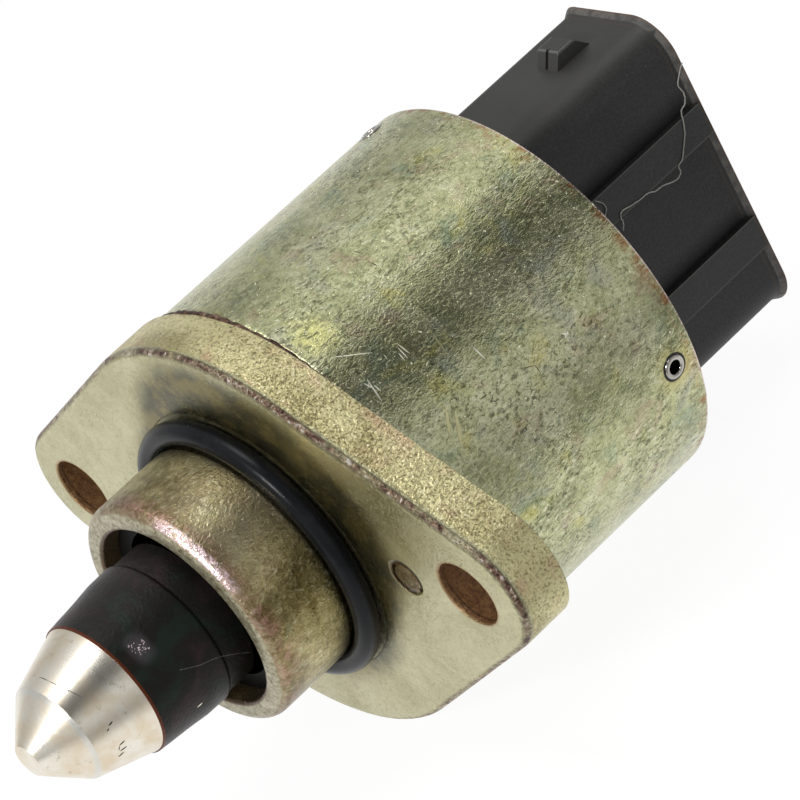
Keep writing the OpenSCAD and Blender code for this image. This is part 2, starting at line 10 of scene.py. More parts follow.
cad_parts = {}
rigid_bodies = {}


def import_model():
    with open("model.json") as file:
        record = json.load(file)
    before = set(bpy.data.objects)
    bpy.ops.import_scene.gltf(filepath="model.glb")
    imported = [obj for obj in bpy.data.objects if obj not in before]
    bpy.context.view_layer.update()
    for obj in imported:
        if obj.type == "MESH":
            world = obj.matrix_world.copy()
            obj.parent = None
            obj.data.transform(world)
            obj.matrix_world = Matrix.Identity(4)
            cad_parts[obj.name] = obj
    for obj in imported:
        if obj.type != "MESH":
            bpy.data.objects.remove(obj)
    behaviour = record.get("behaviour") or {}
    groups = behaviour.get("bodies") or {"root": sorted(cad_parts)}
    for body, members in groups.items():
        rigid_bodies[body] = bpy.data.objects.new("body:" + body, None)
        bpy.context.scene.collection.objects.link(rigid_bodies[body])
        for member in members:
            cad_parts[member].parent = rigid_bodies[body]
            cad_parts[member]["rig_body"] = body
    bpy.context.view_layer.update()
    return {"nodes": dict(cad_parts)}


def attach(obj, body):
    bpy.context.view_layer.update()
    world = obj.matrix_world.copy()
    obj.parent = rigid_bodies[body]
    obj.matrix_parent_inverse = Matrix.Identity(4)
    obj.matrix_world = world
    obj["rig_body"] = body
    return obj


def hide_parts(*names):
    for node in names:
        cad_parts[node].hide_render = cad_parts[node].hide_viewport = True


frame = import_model()

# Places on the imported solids, in millimetres and degrees
MM = 0.001
CAN_R = 18.0
CAN_RIM = 30.9
FLANGE_T = 4.8
EAR_X = 24.4
HOLE_R = 2.9
SPOT_X = 17.15
COLLAR_R = 10.4
COLLAR_FRONT = -9.4
LIP_ROUND = 1.0
LIP_INNER_R = 8.6
SLEEVE_FRONT = -18.0
TIP_RIDGE = -23.0
PIN_Z = 28.6
PIN_ANGLES = (8, 128, 248)
PLUG_MOUTH = 49.0
PLUG_FLARE = 0.84
RIB_SIDES = ((-6.255, -3.305), (5.025, 7.975))
RIB_FACE = 6.2
FIBRE_X = 6.30
LATCH_X = -0.4
LATCH_TOP = -15.0
LATCH_STEEP_TOP = 42.6
# The centres of the painted highlight on the can and of the painted sheen round the sleeve's glints.
GLEAM_ON_CAN = (8.82, -15.69)
GLINT_ON_SLEEVE = (5.03, -3.79)
WIRE_R = 0.16
WIRE_PITCH = 0.33
COIL_R = 15.06
COIL_TURNS = 17
COIL_STARTS = (("front", 8.86), ("rear", 17.86))

# The photograph's camera: where it stands, and its three directions
CAMERA_AT = Vector((0.327849, -0.203834, -0.161469))
RIGHT = Vector((0.61853, 0.41768, 0.66556))
DOWN = Vector((0.14342, 0.77279, -0.61825))
AWAY = Vector((-0.77257, 0.47785, 0.41809))
LENS = 246.47


def srgb(red, green, blue):
    """A judged colour, as Blender's linear values."""
    def linear(c):
        return c / 12.92 if c <= 0.04045 else ((c + 0.055) / 1.055) ** 2.4

    return (linear(red), linear(green), linear(blue), 1.0)


def lighter(colour, times):
    """A linear colour made lighter, or darker with a factor below 1."""
    return tuple(times * c for c in colour[:3]) + (1.0,)


def colour_ramp(tree, value, stops):
    """A ramp of colours; each stop is (place from 0 to 1, colour)."""
    node = tree.nodes.new("ShaderNodeValToRGB")
    marks = node.color_ramp.elements
    while len(marks) < len(stops):
        marks.new(0.5)
    for mark, (at, colour) in zip(marks, stops):
        mark.position = at
        mark.color = colour
    tree.links.new(value, node.inputs[0])
    return node.outputs[0]


class Finish:
    """One material's node tree. Places are Object coordinates in millimetres."""

    def __init__(self, name, metal=0.0, rough=0.5, shine=0.5):
        self.mat = bpy.data.materials.new(name)
        self.mat.use_nodes = True
        self.tree = self.mat.node_tree
        self.bsdf = self.tree.nodes["Principled BSDF"]
        self.give("Metallic", metal)
        self.give("Roughness", rough)
        self.give("Specular IOR Level", shine)
        coords = self.tree.nodes.new("ShaderNodeTexCoord")
        scaled = self.tree.nodes.new("ShaderNodeVectorMath")
        scaled.operation = "SCALE"
        scaled.inputs["Scale"].default_value = 1 / MM
        self.tree.links.new(coords.outputs["Object"], scaled.inputs[0])
        self.place = scaled.outputs[0]
        split = self.tree.nodes.new("ShaderNodeSeparateXYZ")
        self.tree.links.new(self.place, split.inputs[0])
        self.x, self.y, self.z = split.outputs
        self.from_axis = None

    def plug(self, socket, value):
        if isinstance(value, bpy.types.NodeSocket):
            self.tree.links.new(value, socket)
        elif value is not None:
            socket.default_value = value

    def give(self, name, value):
        self.plug(self.bsdf.inputs[name], value)

    def math(self, operation, a, b=None):
        node = self.tree.nodes.new("ShaderNodeMath")
        node.operation = operation
        self.plug(node.inputs[0], a)
        self.plug(node.inputs[1], b)
        return node.outputs[0]

    def add(self, a, b):
        return self.math("ADD", a, b)

    def less(self, a, b):
        return self.math("SUBTRACT", a, b)

    def times(self, first, *others):
        for other in others:
            first = self.math("MULTIPLY", first, other)
        return first

    def most(self, first, *others):
        for other in others:
            first = self.math("MAXIMUM", first, other)
        return first

    def least(self, first, *others):
        for other in others:
            first = self.math("MINIMUM", first, other)
        return first

    def absolute(self, value):
        return self.math("ABSOLUTE", value)

    def step(self, value, low, high):
        """0 at low, 1 at high, smooth between."""
        node = self.tree.nodes.new("ShaderNodeMapRange")
        node.interpolation_type = "SMOOTHSTEP"
        for socket, v in zip(node.inputs, (value, low, high, 0.0, 1.0)):
            self.plug(socket, v)
        return node.outputs[0]

    def band(self, value, low, high, soft):
        """1 between low and high, with soft edges."""
        above = self.step(value, low - soft, low + soft)
        below = self.step(value, high + soft, high - soft)
        return self.times(above, below)

    def scale(self, value, low, high):
        """0 to 1 spread over low to high."""
        node = self.tree.nodes.new("ShaderNodeMapRange")
        for socket, v in zip(node.inputs, (value, 0.0, 1.0, low, high)):
            self.plug(socket, v)
        return node.outputs[0]

    def noise(self, per_mm, detail, rough, bend, seed, place=None):
        node = self.tree.nodes.new("ShaderNodeTexNoise")
        node.noise_dimensions = "4D"
        self.plug(node.inputs["Vector"], place or self.place)
        settings = {"W": seed, "Scale": per_mm, "Detail": detail, "Roughness": rough, "Distortion": bend}
        for key, value in settings.items():
            node.inputs[key].default_value = value
        return node.outputs[0]

    def spots(self, per_mm, detail, rough, bend, seed, low, high):
        """Noise cut into spots: 0 where it is below low, 1 where it is above high."""
        return self.step(self.noise(per_mm, detail, rough, bend, seed), low, high)

    def stretched(self, sx, sy, sz):
        """The place drawn out along an axis, for marks that run one way."""
        node = self.tree.nodes.new("ShaderNodeMapping")
        self.plug(node.inputs["Vector"], self.place)
        node.inputs["Scale"].default_value = (sx, sy, sz)
        return node.outputs[0]

    def length(self, a, b):
        """The long side of a right triangle."""
        return self.math("SQRT", self.add(self.times(a, a), self.times(b, b)))

    def distance(self, cx, cy):
        """Distance from a line along Z through cx, cy."""
        return self.length(self.less(self.x, cx), self.less(self.y, cy))

    @property
    def radius(self):
        """Distance from the valve's axis, worked out once."""
        if self.from_axis is None:
            self.from_axis = self.distance(0.0, 0.0)
        return self.from_axis

    def facing(self, to_x, to_y):
        """How nearly a place looks out along to_x, to_y: 1 is straight, 0 is square to it."""
        along = self.add(self.times(self.x, to_x), self.times(self.y, to_y))
        return self.math("DIVIDE", along, self.radius)

    def mix(self, share, a, b):
        node = self.tree.nodes.new("ShaderNodeMix")
        node.data_type = "RGBA"
        self.plug(node.inputs[0], share)
        self.plug(node.inputs[6], a)
        self.plug(node.inputs[7], b)
        return node.outputs[2]

    def cover(self, colour, tone, *masks):
        """The colour with a tone laid over it, as strong as the product of the masks."""
        return self.mix(self.times(*masks), colour, tone)

    def ramp(self, value, stops):
        return colour_ramp(self.tree, value, stops)

    def hairs(self, per_mm, width, seed, bend=1.5):
        """Thin broken lines, running every way, like the marks of tumbling in an acid bath."""
        ridge = self.absolute(self.less(self.noise(per_mm, 2.0, 0.55, bend, seed), 0.5))
        gaps = self.spots(per_mm * 0.7, 1.0, 0.5, 0.0, seed + 7.0, 0.42, 0.58)
        return self.times(self.step(ridge, width, 0.0), gaps)

    def bump(self, height, depth_mm, strength=1.0, under=None):
        """Relief on top of any relief under it."""
        node = self.tree.nodes.new("ShaderNodeBump")
        node.inputs["Strength"].default_value = strength
        node.inputs["Distance"].default_value = depth_mm * MM
        self.plug(node.inputs["Height"], height)
        self.plug(node.inputs["Normal"], under)
        self.give("Normal", node.outputs[0])
        return node.outputs[0]


DULL = srgb(0.58, 0.60, 0.45)
OLIVE = srgb(0.75, 0.76, 0.58)
PALE = srgb(0.86, 0.86, 0.71)
DEEP = srgb(0.15, 0.16, 0.09)
CREAM = srgb(0.93, 0.92, 0.80)

# The tints of the chromate: patches per millimetre, seed, where the noise starts and fills, strength, tint
TINTS = (
    (0.30, 3.0, 0.56, 0.68, 0.34, srgb(0.72, 0.57, 0.51)),
    (0.26, 4.0, 0.55, 0.68, 0.34, srgb(0.52, 0.64, 0.58)),
    (0.24, 5.0, 0.55, 0.72, 0.44, srgb(0.84, 0.80, 0.42)),
    (0.22, 6.0, 0.56, 0.70, 0.35, srgb(0.66, 0.67, 0.66)),
)


def zinc_coat(f, tones, cloud_size, tint_strength, pitting):
    """Chromate over etched zinc: clouds, rainbow tints and a crinkled grain of dark pits and pale crests."""
    dull, olive, pale = tones
    clouds = f.noise(1.0 / cloud_size, 6.0, 0.62, 0.8, 1.0)
    colour = f.ramp(clouds, ((0.34, dull), (0.50, olive), (0.66, pale)))
    mottle = f.noise(1.1, 4.0, 0.68, 0.8, 2.0)
    colour = f.cover(colour, pale, f.step(mottle, 0.44, 0.68), 0.4)
    colour = f.cover(colour, dull, f.step(mottle, 0.50, 0.30), 0.4)
    for per_mm, seed, low, high, strength, tint in TINTS:
        patches = f.spots(per_mm, 3.0, 0.6, 0.8, seed, low, high)
        colour = f.cover(colour, tint, patches, strength * tint_strength)
    grain = f.noise(3.5, 2.0, 0.60, 0.7, 11.0, f.stretched(1.0, 1.0, 0.6))
    area = f.scale(f.spots(0.16, 3.0, 0.6, 0.8, 12.0, 0.35, 0.65), 0.3, 1.0)
    pits = f.times(f.step(grain, 0.50, 0.34), area, pitting)
    long_marks = f.times(f.hairs(1.3, 0.020, 9.0), 0.75)
    short_marks = f.times(f.hairs(2.4, 0.026, 10.0, 2.2), 0.60)
    dark = f.most(pits, long_marks, short_marks)
    colour = f.cover(colour, DEEP, dark)
    colour = f.cover(colour, CREAM, f.step(grain, 0.53, 0.68), area, 0.62)
    return colour, dark, grain, clouds


def from_pins(f):
    """Distance to the nearest retaining pin, on the outside of the can."""
    distances = []
    for angle in PIN_ANGLES:
        c, s = math.cos(math.radians(angle)), math.sin(math.radians(angle))
        aside = f.less(f.times(f.y, c), f.times(f.x, s))
        outward = f.add(f.times(f.x, c), f.times(f.y, s))
        far_side = f.times(f.step(outward, 1.0, 0.0), 9.0)
        distances.append(f.add(f.length(aside, f.less(f.z, PIN_Z)), far_side))
    return f.least(*distances)


def can_finish():
    """The can: rusty and bright along its cut rim, brown by the braze, stained round its pins, with painted
    shade in the gap round each pin and a painted highlight near the flange.
    """
    f = Finish("can_zinc")
    colour, dark, grain, clouds = zinc_coat(f, (DULL, OLIVE, PALE), 7.0, 1.0, 0.72)
    outer = f.step(f.radius, CAN_R - 0.3, CAN_R - 0.1)
    rust = f.spots(0.8, 4.0, 0.65, 0.6, 21.0, 0.46, 0.62)
    near_rim = f.step(f.z, CAN_RIM - 1.3, CAN_RIM - 0.2)
    colour = f.cover(colour, srgb(0.62, 0.40, 0.24), near_rim, outer, rust, 0.75)
    rim = f.step(f.z, CAN_RIM - 0.14, CAN_RIM - 0.08)
    chipped = f.scale(f.spots(0.9, 4.0, 0.7, 0.5, 24.0, 0.40, 0.58), 0.25, 0.9)
    colour = f.cover(colour, srgb(0.90, 0.82, 0.80), rim, outer, chipped)
    colour = f.cover(colour, DULL, f.step(f.radius, CAN_R - 0.8, CAN_R - 1.0), 0.6)
    by_seam = f.step(f.z, FLANGE_T + 0.9, FLANGE_T + 0.15)
    burnt = f.spots(0.5, 3.0, 0.6, 0.5, 22.0, 0.38, 0.6)
    colour = f.cover(colour, srgb(0.45, 0.32, 0.22), by_seam, burnt, 0.65)
    pin = from_pins(f)
    # Painted shade: a near-black ring in the gap round each pin, where the pin meets its hole.
    pin_gap_shade = f.step(pin, 1.24, 1.14)
    colour = f.cover(colour, srgb(0.74, 0.68, 0.38), f.step(pin, 2.6, 1.3), f.step(clouds, 0.35, 0.6), 0.5)
    colour = f.cover(colour, srgb(0.05, 0.04, 0.03), pin_gap_shade)
    # Painted highlight: a pale yellow gleam on the can just behind the flange.
    gleam = f.times(f.step(f.distance(*GLEAM_ON_CAN), 2.6, 0.5), f.band(f.z, 5.8, 8.8, 0.9))
    colour = f.cover(colour, srgb(0.96, 0.94, 0.56), gleam, f.scale(f.step(grain, 0.40, 0.56), 0.2, 1.0), 0.5)
    specks = f.spots(3.4, 1.0, 0.5, 0.0, 13.0, 0.70, 0.76)
    f.give("Base Color", f.cover(colour, CREAM, specks))
    f.give("Metallic", f.scale(f.most(specks, pin_gap_shade), 0.95, 0.25))
    f.give("Roughness", f.scale(f.add(clouds, f.times(dark, 0.5)), 0.16, 0.32))
    coarse = f.bump(f.noise(0.45, 3.0, 0.6, 0.5, 23.0), 0.08, 0.5)
    f.bump(grain, 0.072, 1.0, coarse)
    return f.mat


def edge_colour(f, clouds):
    """The flange's cut edge: cream with rosy patches, dark pores and bright crumbs that are painted glints.
    Gives the pores too.
    """
    colour = f.mix(f.step(clouds, 0.36, 0.62), srgb(0.69, 0.65, 0.46), srgb(0.87, 0.84, 0.64))
    near_rims = f.scale(f.most(f.step(f.z, 3.4, 4.5), f.step(f.z, 2.4, 1.0)), 0.35, 1.0)
    rosy = f.spots(0.30, 3.0, 0.6, 0.8, 32.0, 0.48, 0.66)
    colour = f.cover(colour, srgb(0.80, 0.61, 0.52), rosy, near_rims, 0.45)
    pores = f.noise(5.4, 3.0, 0.65, 0.4, 31.0)
    dots = f.step(pores, 0.49, 0.37)
    colour = f.cover(colour, srgb(0.38, 0.32, 0.19), dots, 0.62)
    # Painted glints: near-white specks over the cut edge.
    colour = f.cover(colour, srgb(0.97, 0.94, 0.86), f.step(pores, 0.56, 0.70), 0.6)
    return colour, dots


def face_colour(f, clouds, dark):
    """The flange's front face: calm and pale, darker round the seal ring, widest below it."""
    colour = f.mix(f.step(clouds, 0.35, 0.65), srgb(0.70, 0.68, 0.52), srgb(0.80, 0.78, 0.64))
    colour = f.cover(colour, srgb(0.52, 0.50, 0.36), dark, 0.85)
    # Darker round the seal ring. How far it reaches varies with noise, and it reaches furthest on one side.
    reach = f.scale(f.step(f.facing(0.60, -0.80), 0.1, 0.95), 11.3, 15.4)
    reach = f.add(reach, f.times(f.noise(0.55, 7.0, 0.78, 0.4, 38.0), 2.2))
    dark_round_ring = f.step(f.less(f.radius, reach), 2.4, -0.4)
    smears = f.spots(0.35, 3.0, 0.6, 0.4, 39.0, 0.40, 0.60)
    dark_round_ring_tone = f.mix(smears, srgb(0.16, 0.15, 0.07), srgb(0.42, 0.37, 0.18))
    return f.cover(colour, dark_round_ring_tone, dark_round_ring, 0.84)


def flange_finish():
    """The flange: calm face, crusted front edge, cream side, rusty hole walls and one stamped spot."""
    f = Finish("flange_zinc")
    tones = (srgb(0.64, 0.62, 0.46), srgb(0.74, 0.72, 0.57), srgb(0.80, 0.78, 0.64))
    colour, dark, grain, clouds = zinc_coat(f, tones, 9.0, 0.7, 0.5)
    face = f.step(f.z, 0.08, 0.02)
    side = f.times(f.step(f.z, 0.7, 1.0), f.step(f.z, FLANGE_T - 0.02, FLANGE_T - 0.1))
    cream, dots = edge_colour(f, clouds)
    colour = f.cover(colour, cream, side)
    roll = f.band(f.z, 0.12, 0.58, 0.10)
    crust = f.noise(1.7, 4.0, 0.7, 0.6, 33.0)
    burr = f.ramp(crust, ((0.38, srgb(0.22, 0.17, 0.14)), (0.48, srgb(0.46, 0.35, 0.31)),
                          (0.57, srgb(0.62, 0.56, 0.46)), (0.66, srgb(0.94, 0.90, 0.91))))
    colour = f.cover(colour, burr, roll, f.scale(f.spots(0.5, 3.0, 0.6, 0.4, 30.0, 0.36, 0.58), 0.45, 1.0))
    colour = f.cover(colour, face_colour(f, clouds, dark), face)
    hole = f.least(f.distance(EAR_X, 0.0), f.distance(-EAR_X, 0.0))
    by_hole = f.step(hole, HOLE_R + 0.28, HOLE_R + 0.02)
    colour = f.cover(colour, srgb(0.60, 0.42, 0.24), by_hole, f.scale(clouds, 0.4, 0.9))
    wall = f.times(f.step(hole, HOLE_R + 0.06, HOLE_R + 0.02), f.step(f.z, 0.05, 0.25))
    speckles = f.spots(2.6, 3.0, 0.6, 0.3, 35.0, 0.32, 0.68)
    colour = f.cover(colour, f.mix(speckles, srgb(0.42, 0.28, 0.17), srgb(0.58, 0.43, 0.27)), wall)
    spot = f.distance(SPOT_X, 0.0)
    broken = f.scale(f.spots(1.1, 3.0, 0.65, 0.4, 34.0, 0.40, 0.56), 0.6, 1.0)
    outline = f.times(f.band(spot, 1.22, 1.60, 0.16), face, broken)
    worn = f.scale(f.spots(0.9, 3.0, 0.6, 0.3, 36.0, 0.36, 0.60), 0.95, 0.70)
    colour = f.cover(colour, srgb(0.30, 0.19, 0.09), outline)
    colour = f.cover(colour, srgb(0.36, 0.27, 0.13), f.step(spot, 1.40, 1.25), face, worn)
    f.give("Base Color", colour)
    f.give("Metallic", f.less(0.92, f.add(f.times(wall, 0.55), f.times(side, 0.12))))
    f.give("Roughness", f.add(f.scale(f.less(1.0, face), 0.26, 0.36), f.scale(clouds, -0.05, 0.08)))
    soft = f.bump(f.noise(0.6, 2.0, 0.5, 0.5, 37.0), 0.05, 0.4)
    dent = f.bump(f.times(outline, -1.0), 0.15, 1.0, soft)
    crumpled = f.bump(f.times(crust, roll), 0.30, 1.0, dent)
    rough = f.times(f.less(grain, f.times(dots, 0.4)), f.scale(face, 1.0, 0.28))
    f.bump(rough, 0.10, 1.0, crumpled)
    return f.mat


def collar_finish():
    """The collar: painted shade by the ring, painted light on the side toward the lamps, rosy at its round
    lip with a painted highlight there, brown in its bore.
    """
    f = Finish("collar_zinc")
    tones = (srgb(0.34, 0.29, 0.17), srgb(0.56, 0.51, 0.34), srgb(0.76, 0.71, 0.53))
    colour, dark, grain, clouds = zinc_coat(f, tones, 6.0, 0.8, 0.60)
    behind_front = f.less(f.z, COLLAR_FRONT)
    grime = f.spots(0.35, 4.0, 0.65, 0.8, 40.0, 0.50, 0.66)
    colour = f.cover(colour, srgb(0.30, 0.28, 0.17), grime, 0.4)
    toward = f.facing(0.66, -0.75)
    # Painted light: lighter on the side that faces the lamps, with a narrow painted highlight running down
    # it.
    colour = f.cover(colour, srgb(0.86, 0.80, 0.64), f.step(toward, 0.76, 0.995), 0.30)
    colour = f.cover(colour, srgb(0.86, 0.80, 0.66), f.step(f.facing(0.72, -0.69), 0.970, 0.998), 0.45)
    # Painted shade: the collar darker next to the seal ring.
    patchy = f.scale(f.noise(0.6, 4.0, 0.6, 0.5, 47.0), 0.4, 1.0)
    colour = f.cover(colour, srgb(0.20, 0.18, 0.10), f.step(f.z, -4.8, -2.7), patchy, 0.4)
    blotches = f.spots(1.4, 3.0, 0.6, 0.6, 41.0, 0.42, 0.6)
    rosy = f.mix(blotches, srgb(0.46, 0.35, 0.24), srgb(0.70, 0.54, 0.49))
    near_lip = f.times(f.step(behind_front, 2.6, 1.0), f.spots(0.5, 4.0, 0.6, 0.6, 42.0, 0.34, 0.56))
    colour = f.cover(colour, rosy, near_lip, 0.65)
    worn = f.scale(f.spots(1.8, 3.0, 0.65, 0.4, 48.0, 0.38, 0.58), 0.2, 1.0)
    crown = f.times(f.band(behind_front, 0.16, 0.55, 0.12), worn)
    # Painted highlight: a broken near-white band on the lip's rounding, on the side facing the lamps.
    chipped = f.scale(f.spots(2.6, 3.0, 0.7, 0.6, 49.0, 0.40, 0.56), 0.15, 1.0)
    lip_highlight_band = f.times(f.band(behind_front, 0.12, 0.95, 0.14), chipped)
    painted_lip_highlight = f.times(lip_highlight_band, f.step(toward, 0.88, 0.975))
    colour = f.cover(colour, srgb(0.72, 0.66, 0.55), crown, 0.5)
    colour = f.cover(colour, srgb(0.97, 0.86, 0.88), painted_lip_highlight)
    line = f.band(behind_front, 0.07, 0.14, 0.04)
    colour = f.cover(colour, srgb(0.36, 0.24, 0.16), line, f.scale(clouds, 0.5, 1.0), 0.8)
    lip = f.times(f.step(behind_front, 0.24, 0.10), f.step(f.radius, LIP_INNER_R - 0.1, LIP_INNER_R + 0.1))
    crumbs = f.noise(2.4, 4.0, 0.7, 0.4, 45.0)
    pale = f.ramp(crumbs, ((0.34, srgb(0.44, 0.38, 0.28)), (0.46, srgb(0.60, 0.57, 0.46)),
                           (0.66, srgb(0.76, 0.74, 0.64))))
    colour = f.cover(colour, pale, lip)
    bore = f.step(f.radius, LIP_INNER_R, LIP_INNER_R - 0.15)
    brown = f.mix(f.noise(1.2, 3.0, 0.6, 0.0, 43.0), srgb(0.46, 0.37, 0.24), srgb(0.66, 0.58, 0.42))
    colour = f.cover(colour, brown, bore)
    edge = f.band(f.radius, LIP_INNER_R - 0.22, LIP_INNER_R + 0.08, 0.08)
    colour = f.cover(colour, srgb(0.30, 0.20, 0.12), edge, f.step(behind_front, 0.5, 0.1), 0.8)
    f.give("Base Color", colour)
    f.give("Metallic", f.scale(f.most(lip, bore), 0.94, 0.55))
    gloss = f.scale(f.add(clouds, f.times(dark, 0.4)), 0.20, 0.40)
    f.give("Roughness", f.add(gloss, f.times(painted_lip_highlight, 0.04)))
    lines = f.bump(f.noise(1.6, 2.0, 0.6, 0.0, 44.0, f.stretched(0.15, 0.15, 2.2)), 0.02, 0.5)
    crinkles = f.times(f.noise(2.8, 3.0, 0.65, 0.8, 46.0), f.step(behind_front, 2.2, 1.0))
    f.bump(grain, 0.058, 1.0, f.bump(crinkles, 0.07, 1.0, lines))
    return f.mat


def seam_finish():
    """Rough braze: dark and brown with a few bright crumbs."""
    f = Finish("seam_braze", metal=0.6, rough=0.45)
    patches = f.noise(1.1, 4.0, 0.7, 0.5, 51.0)
    f.give("Base Color", f.ramp(patches, ((0.38, srgb(0.10, 0.07, 0.05)), (0.49, srgb(0.30, 0.20, 0.15)),
                                          (0.58, srgb(0.52, 0.41, 0.34)), (0.68, srgb(0.86, 0.78, 0.76)))))
    f.bump(f.noise(2.6, 3.0, 0.6, 0.3, 52.0), 0.16)
    return f.mat


def rubber_finish():
    """Black rubber with a faint bloom and some dust."""
    f = Finish("ring_rubber", shine=0.14)
    black = srgb(0.07, 0.075, 0.085)
    bloom = f.noise(0.5, 4.0, 0.6, 0.6, 81.0)
    colour = f.mix(f.step(bloom, 0.35, 0.7), black, lighter(black, 1.5))
    dust = f.spots(4.0, 2.0, 0.6, 0.0, 82.0, 0.70, 0.76)
    f.give("Base Color", f.cover(colour, srgb(0.55, 0.56, 0.55), dust, 0.6))
    f.give("Roughness", f.scale(bloom, 0.20, 0.34))
    f.bump(f.noise(2.2, 3.0, 0.55, 0.0, 83.0), 0.02, 0.5)
    return f.mat


def sleeve_finish():
    """The black sleeve: green and purple swirls, a sheen round its glints, rust where the tip meets it."""
    f = Finish("sleeve_black", metal=0.25, shine=0.15)
    swirl = f.noise(0.26, 5.0, 0.6, 0.8, 61.0)
    colour = f.ramp(swirl, ((0.34, srgb(0.11, 0.15, 0.13)), (0.46, srgb(0.11, 0.105, 0.095)),
                            (0.54, srgb(0.12, 0.115, 0.10)), (0.66, srgb(0.19, 0.14, 0.15))))
    lit = f.step(f.less(f.times(f.y, -1.0), f.x), 2.0, 8.0)
    cloudy = f.scale(f.noise(0.5, 4.0, 0.6, 0.6, 65.0), 0.2, 1.0)
    colour = f.cover(colour, srgb(0.36, 0.34, 0.35), lit, cloudy, 0.3)
    sheen = f.times(f.step(f.distance(*GLINT_ON_SLEEVE), 1.7, 0.2), f.band(f.z, -16.7, -15.3, 0.5))
    broken = f.scale(f.noise(1.6, 3.0, 0.6, 0.5, 66.0), 0.2, 1.0)
    colour = f.cover(colour, srgb(0.44, 0.42, 0.44), sheen, broken, 0.6)
    edge = f.band(f.z, SLEEVE_FRONT - 0.05, SLEEVE_FRONT + 0.20, 0.06)
    colour = f.cover(colour, srgb(0.36, 0.16, 0.06), edge, 0.85)
    dust = f.spots(5.0, 2.0, 0.6, 0.0, 62.0, 0.72, 0.78)
    f.give("Base Color", f.cover(colour, srgb(0.45, 0.42, 0.36), dust, 0.35))
    f.give("Roughness", f.scale(f.noise(0.6, 4.0, 0.6, 0.4, 63.0), 0.30, 0.46))
    f.bump(f.noise(3.2, 3.0, 0.65, 0.4, 64.0), 0.07, 0.9)
    return f.mat


def tip_finish():
    """The bright turned tip: light stains, turning lines, a painted bluish highlight line at its ridge."""
    f = Finish("tip_turned", metal=1.0)
    stain = f.noise(0.35, 4.0, 0.6, 0.6, 71.0)
    colour = f.mix(f.step(stain, 0.35, 0.68), srgb(0.93, 0.91, 0.86), srgb(0.88, 0.82, 0.72))
    grime = f.spots(1.3, 4.0, 0.7, 0.5, 72.0, 0.60, 0.72)
    colour = f.cover(colour, srgb(0.62, 0.55, 0.44), grime, f.scale(stain, 0.2, 0.8))
    # Painted highlight: a bluish line along the ridge of the tip.
    ridge = f.band(f.z, TIP_RIDGE - 0.34, TIP_RIDGE + 0.02, 0.14)
    f.give("Base Color", f.cover(colour, srgb(0.80, 0.86, 0.90), ridge, f.scale(stain, 0.0, 0.6)))
    f.give("Roughness", f.scale(stain, 0.20, 0.38))
    lines = f.bump(f.noise(2.4, 2.0, 0.6, 0.0, 73.0, f.stretched(0.12, 0.12, 3.0)), 0.012, 0.6)
    f.bump(f.noise(3.0, 3.0, 0.6, 0.3, 74.0), 0.010, 0.6, lines)
    return f.mat


def moulded(name, base, seed, rough, shine=0.4):
    """Moulded plastic: fine grain, slight flow clouds and dust specks. Gives the finish and its colour."""
    f = Finish(name, shine=shine)
    clouds = f.noise(0.18, 4.0, 0.6, 0.6, seed)
    colour = f.mix(f.step(clouds, 0.3, 0.7), base, lighter(base, 1.35))
    specks = f.spots(4.6, 2.0, 0.6, 0.0, seed + 1.0, 0.70, 0.77)
    colour = f.cover(colour, srgb(0.46, 0.46, 0.44), specks, 0.5)
    f.give("Base Color", colour)
    f.give("Roughness", f.scale(clouds, rough - 0.07, rough + 0.10))
    f.bump(f.noise(5.5, 2.0, 0.6, 0.0, seed + 3.0), 0.02, 0.8)
    return f, colour


def plastic_finish(name, base, seed, rough, shine=0.4):
    return moulded(name, base, seed, rough, shine)[0].mat


def latch_wear(f):
    """Where the latch ramp is scuffed: along both sides of its top, and at the top of its steep face."""
    sides = f.step(f.absolute(f.less(f.x, LATCH_X)), 1.12, 1.2)
    raised = f.times(f.step(f.y, -13.95, -14.05), f.step(f.y, LATCH_TOP + 0.2, LATCH_TOP))
    on_top = f.step(f.y, LATCH_TOP + 0.04, LATCH_TOP - 0.04)
    at_steep = f.step(f.z, LATCH_STEEP_TOP + 0.1, LATCH_STEEP_TOP)
    return f.most(f.times(sides, raised), f.times(on_top, at_steep))


